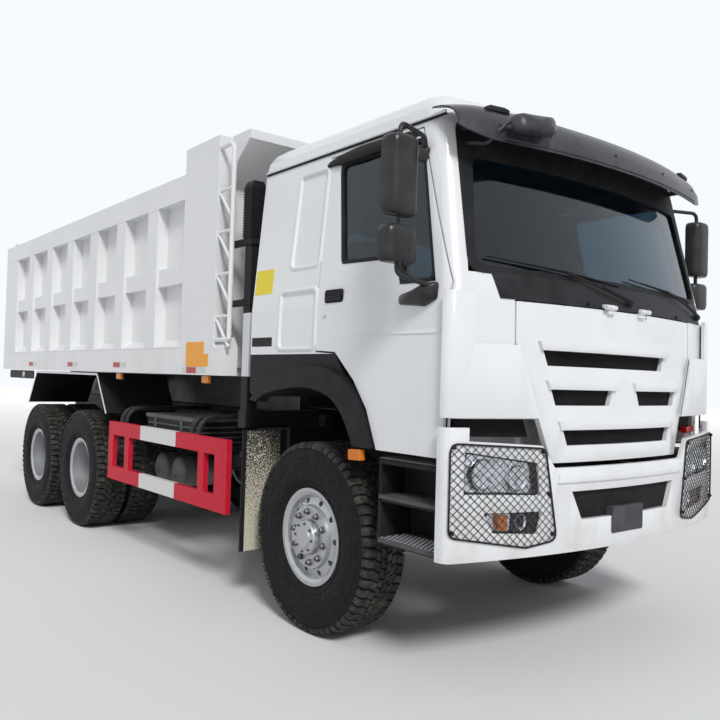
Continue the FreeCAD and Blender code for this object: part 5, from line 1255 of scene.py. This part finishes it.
TANK_PLACES = (2.067, 2.394)
TANK_HIGH = 0.705
TANK_RADIUS = 0.121
FUEL_OUTER = (0.476, 1.134, 0.516, 1.064)
FUEL_INNER = (0.482, 1.128, 0.522, 1.058)
TAIL_BACK = max(vertex.co.y for vertex in NODES["rear_underrun"].data.vertices)
TAIL_LENSES = (("reversing", LENS_PALE, 0.615, 0.705), ("stop", RED_LENS, 0.713, 0.850),
               ("turn", AMBER, 0.858, 0.975))


def intake_dress():
    ribs = bmesh.new()
    for z in (2.452 + 0.018 * k for k in range(19)):
        add_block(ribs, (-1.1835, FRONT_AXLE + 0.7495, z), (-1.0615, FRONT_AXLE + 0.8605, z + 0.0085))
    finished("intake_ribs", ribs, PLASTIC, "chassis", 0.0015)
    bars = bmesh.new()
    for z in (2.405, 1.985):
        add_block(bars, (-1.150, FRONT_AXLE + 0.840, z), (-1.115, FRONT_AXLE + 1.085, z + 0.045))
    add_block(bars, (-1.175, FRONT_AXLE + 0.748, 2.395), (-1.070, FRONT_AXLE + 0.862, 2.440))
    add_block(bars, (-1.172, FRONT_AXLE + 0.752, 1.980), (-1.073, FRONT_AXLE + 0.858, 2.030))
    finished("intake_bars", bars, CHASSIS, "chassis", 0.003)


def battery_dress():
    work = bmesh.new()
    near, far = FRONT_AXLE + 1.634, FRONT_AXLE + 2.486
    add_block(work, (-1.128, near, 1.135), (-0.495, far, 1.166))
    for z in (0.965 + 0.040 * k for k in range(4)):
        add_block(work, (-1.1235, near + 0.03, z), (-0.520, far - 0.03, z + 0.012))
        add_block(work, (-1.105, near + 0.0025, z), (-0.520, near + 0.03, z + 0.012))
    for y in (1.80, 2.28):
        add_block(work, (-1.132, FRONT_AXLE + y, 1.060), (-1.118, FRONT_AXLE + y + 0.03, 1.170))
    finished("battery_lid", work, BOX_GREY, "chassis", 0.004)


def tanks_dress():
    work = bmesh.new()
    turns = [0.25 * k for k in range(6)]
    dome = [(-1.000 - 0.040 * math.sin(t), TANK_RADIUS * math.cos(t) ** 0.8) for t in turns]
    dome += [(-1.042, 0.0), (-0.998, 0.0)]
    straps = [[(x, TANK_RADIUS), (x, 0.1245), (x + 0.030, 0.1245), (x + 0.030, TANK_RADIUS)]
              for x in (-0.930, -0.690)]
    welds = [[(x - 0.006, TANK_RADIUS), (x - 0.004, 0.1235), (x + 0.004, 0.1235), (x + 0.006, TANK_RADIUS)]
             for x in (-1.0, -0.6)]
    for along in (FRONT_AXLE + y for y in TANK_PLACES):
        for profile in (dome, *straps, *welds):
            add_turned(work, profile, (0, along, TANK_HIGH), 48)
        plug = [(-1.055, 0.0), (-1.055, 0.012), (-1.035, 0.016), (-1.035, 0.0)]
        add_turned(work, plug, (0, along, TANK_HIGH - 0.040), 12)
    finished("tank_ends", work, TANK, "chassis", smooth=35.0)
    fuel = bmesh.new()
    outer, inner = rounded_loop(rect(*FUEL_OUTER), 0.048), rounded_loop(rect(*FUEL_INNER), 0.044)
    for y in (FRONT_AXLE + 1.43, FRONT_AXLE + 2.28):
        add_loft(fuel, [[(x, y + along, z) for x, z in ring] for ring, along in
                        ((inner, 0.0), (outer, 0.0), (outer, 0.045), (inner, 0.045))], looped=True)
    cap = [(1.055, 0.0), (1.055, 0.052), (1.078, 0.052), (1.086, 0.044), (1.086, 0.0)]
    add_turned(fuel, cap, (0.95, FRONT_AXLE + 1.75, 0), 32, "Z")
    finished("fuel_straps", fuel, STEEL, "chassis", smooth=30.0)


def tail_dress():
    for name, look, left, right in TAIL_LENSES:
        work = bmesh.new()
        for side, _ in SIDES:
            add_block(work, (side * left, TAIL_BACK - 0.012, 0.716), (side * right, TAIL_BACK - 0.002, 0.814))
        finished("tail_lens_" + name, work, look, "chassis", 0.003)
    plate = bmesh.new()
    add_block(plate, (-0.26, TAIL_BACK - 0.0005, 0.505), (0.26, TAIL_BACK + 0.0025, 0.585))
    finished("rear_plate_blank", plate, ORANGE, "chassis", 0.001)


intake_dress()
tail_dress()
battery_dress()
tanks_dress()


# Seats: padded forms with bolsters, in the space of their solids

SEAT_INNER, SEAT_OUTER = 0.282, 0.778
BASE_INNER, BASE_OUTER = 0.335, 0.725


def add_pad(work, low, high, radius, crown, axis, cuts=10):
    """A closed cushion: rounded edges, crowned on the face towards the axis, sides drawn in."""
    middle = (Vector(low) + Vector(high)) / 2
    half = (Vector(high) - Vector(low)) / 2
    others = [i for i in range(3) if i != axis]
    verts = {}

    def spot(key):
        if key not in verts:
            a = Vector([2 * value / cuts - 1 for value in key])
            place = Vector([a[i] * half[i] for i in range(3)])
            core = Vector([max(radius - half[i], min(half[i] - radius, place[i])) for i in range(3)])
            away = place - core
            if away.length > 1e-9:
                place = core + away.normalized() * radius
            bulge = (1 - a[others[0]] ** 2) * (1 - a[others[1]] ** 2)
            place[axis] += crown * bulge * (0.5 + 0.5 * a[axis])
            for i in others:
                place[i] *= 1 - 0.035 * (1 - a[axis] ** 2)
            verts[key] = work.verts.new(middle + place)
        return verts[key]

    for flat in range(3):
        first, second = [i for i in range(3) if i != flat]
        for level in (0, cuts):
            for i in range(cuts):
                for j in range(cuts):
                    corners = []
                    for di, dj in ((0, 0), (1, 0), (1, 1), (0, 1)):
                        key = [0, 0, 0]
                        key[flat], key[first], key[second] = level, i + di, j + dj
                        corners.append(spot(tuple(key)))
                    work.faces.new(corners)


def seat_pads():
    """Cushion with two bolsters and a front roll, back with two bolsters and three rolls, and head rest."""
    pads = bmesh.new()
    y = FRONT_AXLE
    for side, _ in SIDES:
        left, right = sorted((side * SEAT_INNER, side * SEAT_OUTER))
        for low_x, high_x in ((left, left + 0.085), (right - 0.085, right)):
            add_pad(pads, (low_x, y - 0.325, 1.830), (high_x, y + 0.105, 1.972), 0.030, 0.004, 2, 14)
        add_pad(pads, (left + 0.075, y - 0.325, 1.795), (right - 0.075, y + 0.105, 1.960),
                0.030, 0.012, 2, 14)
        add_pad(pads, (left + 0.02, y - 0.329, 1.828), (right - 0.02, y - 0.250, 1.950), 0.034, 0.006, 2)
        for low_x, high_x in ((left + 0.01, left + 0.095), (right - 0.095, right - 0.01)):
            add_pad(pads, (low_x, y + 0.104, 1.990), (high_x, y + 0.226, 2.400), 0.034, 0.0, 1)
        for low_z, high_z in ((1.975, 2.120), (2.112, 2.262), (2.254, 2.410)):
            add_pad(pads, (left + 0.085, y + 0.112, low_z), (right - 0.085, y + 0.224, high_z), 0.030, 0.0, 1)
        add_pad(pads, (left + 0.12, y + 0.125, 2.440), (right - 0.12, y + 0.222, 2.640), 0.036, 0.0, 1)
    piece = finished("seat_cushions", pads, CLOTH, "cab", smooth=70.0)
    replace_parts(piece, "seats")


def seat_bases():
    work = bmesh.new()
    for side, _ in SIDES:
        left, right = sorted((side * BASE_INNER, side * BASE_OUTER))
        add_block(work, (left, FRONT_AXLE - 0.275, 1.692), (right, FRONT_AXLE + 0.095, 1.792))
        add_block(work, (left - 0.03, FRONT_AXLE - 0.300, 1.785), (right + 0.03, FRONT_AXLE + 0.11, 1.812))
        for x in (left + 0.10, right - 0.10):
            add_rod(work, [(x, FRONT_AXLE + 0.175, z) for z in (2.38, 2.47)], 0.007)
    finished("seat_bases", work, PLASTIC, "cab", 0.004)


seat_pads()
seat_bases()


# Stage, light and camera

WORLD_LIGHT = 0.36
SUN_LIGHT = 2.15
FILL_LIGHT = 0.12
FLOOR_RADIUS = 60.0
FADE_NEAR, FADE_FAR = 9.0, 30.0
CAMERA_PLACE = (-3.807, -6.380, 1.509)
CAMERA_AZIMUTH = math.radians(38.79)
CAMERA_TILT = math.radians(1.37)
CAMERA_ROLL = math.radians(1.64)
FOCAL_SHARE = 765.7 / 720.0
SENSOR = 36.0


def placed(name, data):
    thing = bpy.data.objects.new(name, data)
    bpy.context.scene.collection.objects.link(thing)
    return thing


def stage():
    work = bmesh.new()
    bmesh.ops.create_circle(work, cap_ends=True, radius=FLOOR_RADIUS, segments=96)
    mesh = bpy.data.meshes.new("floor")
    work.to_mesh(mesh)
    work.free()
    look = material("floor_pale", (0.86, 0.86, 0.86), 0.9)
    mesh.materials.append(look)
    far = add_node(look, "ShaderNodeVectorMath", {0: place_of(look)}, operation="LENGTH").outputs["Value"]
    seen = add_node(look, "ShaderNodeLightPath").outputs["Is Camera Ray"]
    white = add_node(look, "ShaderNodeEmission", {"Strength": 1.0})
    tree = look.node_tree
    merged = add_node(look, "ShaderNodeMixShader", {
        0: math_node(look, "MULTIPLY", ramp(look, far, FADE_NEAR, FADE_FAR), seen),
        1: tree.nodes["Principled BSDF"].outputs[0], 2: white.outputs[0]})
    tree.links.new(merged.outputs[0], tree.nodes["Material Output"].inputs["Surface"])
    placed("floor", mesh)


def world():
    """Soft light all round; the camera, gloss and glass see it as white."""
    sky = bpy.data.worlds.new("studio")
    bpy.context.scene.world = sky
    sky.use_nodes = True
    rays = add_node(sky, "ShaderNodeLightPath").outputs
    seen = rays["Is Camera Ray"]
    for name in ("Is Glossy Ray", "Is Transmission Ray"):
        seen = math_node(sky, "MAXIMUM", seen, rays[name])
    back = sky.node_tree.nodes["Background"]
    back.inputs["Color"].default_value = (0.93, 0.96, 1.0, 1)
    sky.node_tree.links.new(ramp(sky, seen, 0.0, 1.0, WORLD_LIGHT, 1.0), back.inputs["Strength"])


def sun(name, strength, direction, degrees):
    light = bpy.data.lights.new(name, "SUN")
    light.energy = strength
    light.angle = math.radians(degrees)
    holder = placed(name, light)
    holder.rotation_mode = "QUATERNION"
    holder.rotation_quaternion = Vector(direction).to_track_quat("-Z", "Y")


def camera():
    data = bpy.data.cameras.new("camera")
    data.sensor_width = SENSOR
    data.lens = SENSOR * FOCAL_SHARE
    level = math.cos(CAMERA_TILT)
    across, along = math.sin(CAMERA_AZIMUTH), math.cos(CAMERA_AZIMUTH)
    ahead = Vector((across * level, along * level, math.sin(CAMERA_TILT)))
    right = ahead.cross(Vector((0, 0, 1))).normalized()
    up = right.cross(ahead)
    rolled = math.cos(CAMERA_ROLL) * right + math.sin(CAMERA_ROLL) * up
    risen = math.cos(CAMERA_ROLL) * up - math.sin(CAMERA_ROLL) * right
    turn = Matrix((rolled, risen, -ahead)).transposed().to_4x4()
    holder = placed("camera", data)
    holder.matrix_world = Matrix.Translation(CAMERA_PLACE) @ turn
    bpy.context.scene.camera = holder


stage()
world()
sun("sun", SUN_LIGHT, (0.33, 0.70, -0.63), 14)
sun("side_fill", FILL_LIGHT, (0.9, -0.15, -0.35), 60)
camera()
bpy.context.scene.view_settings.view_transform = "Standard"
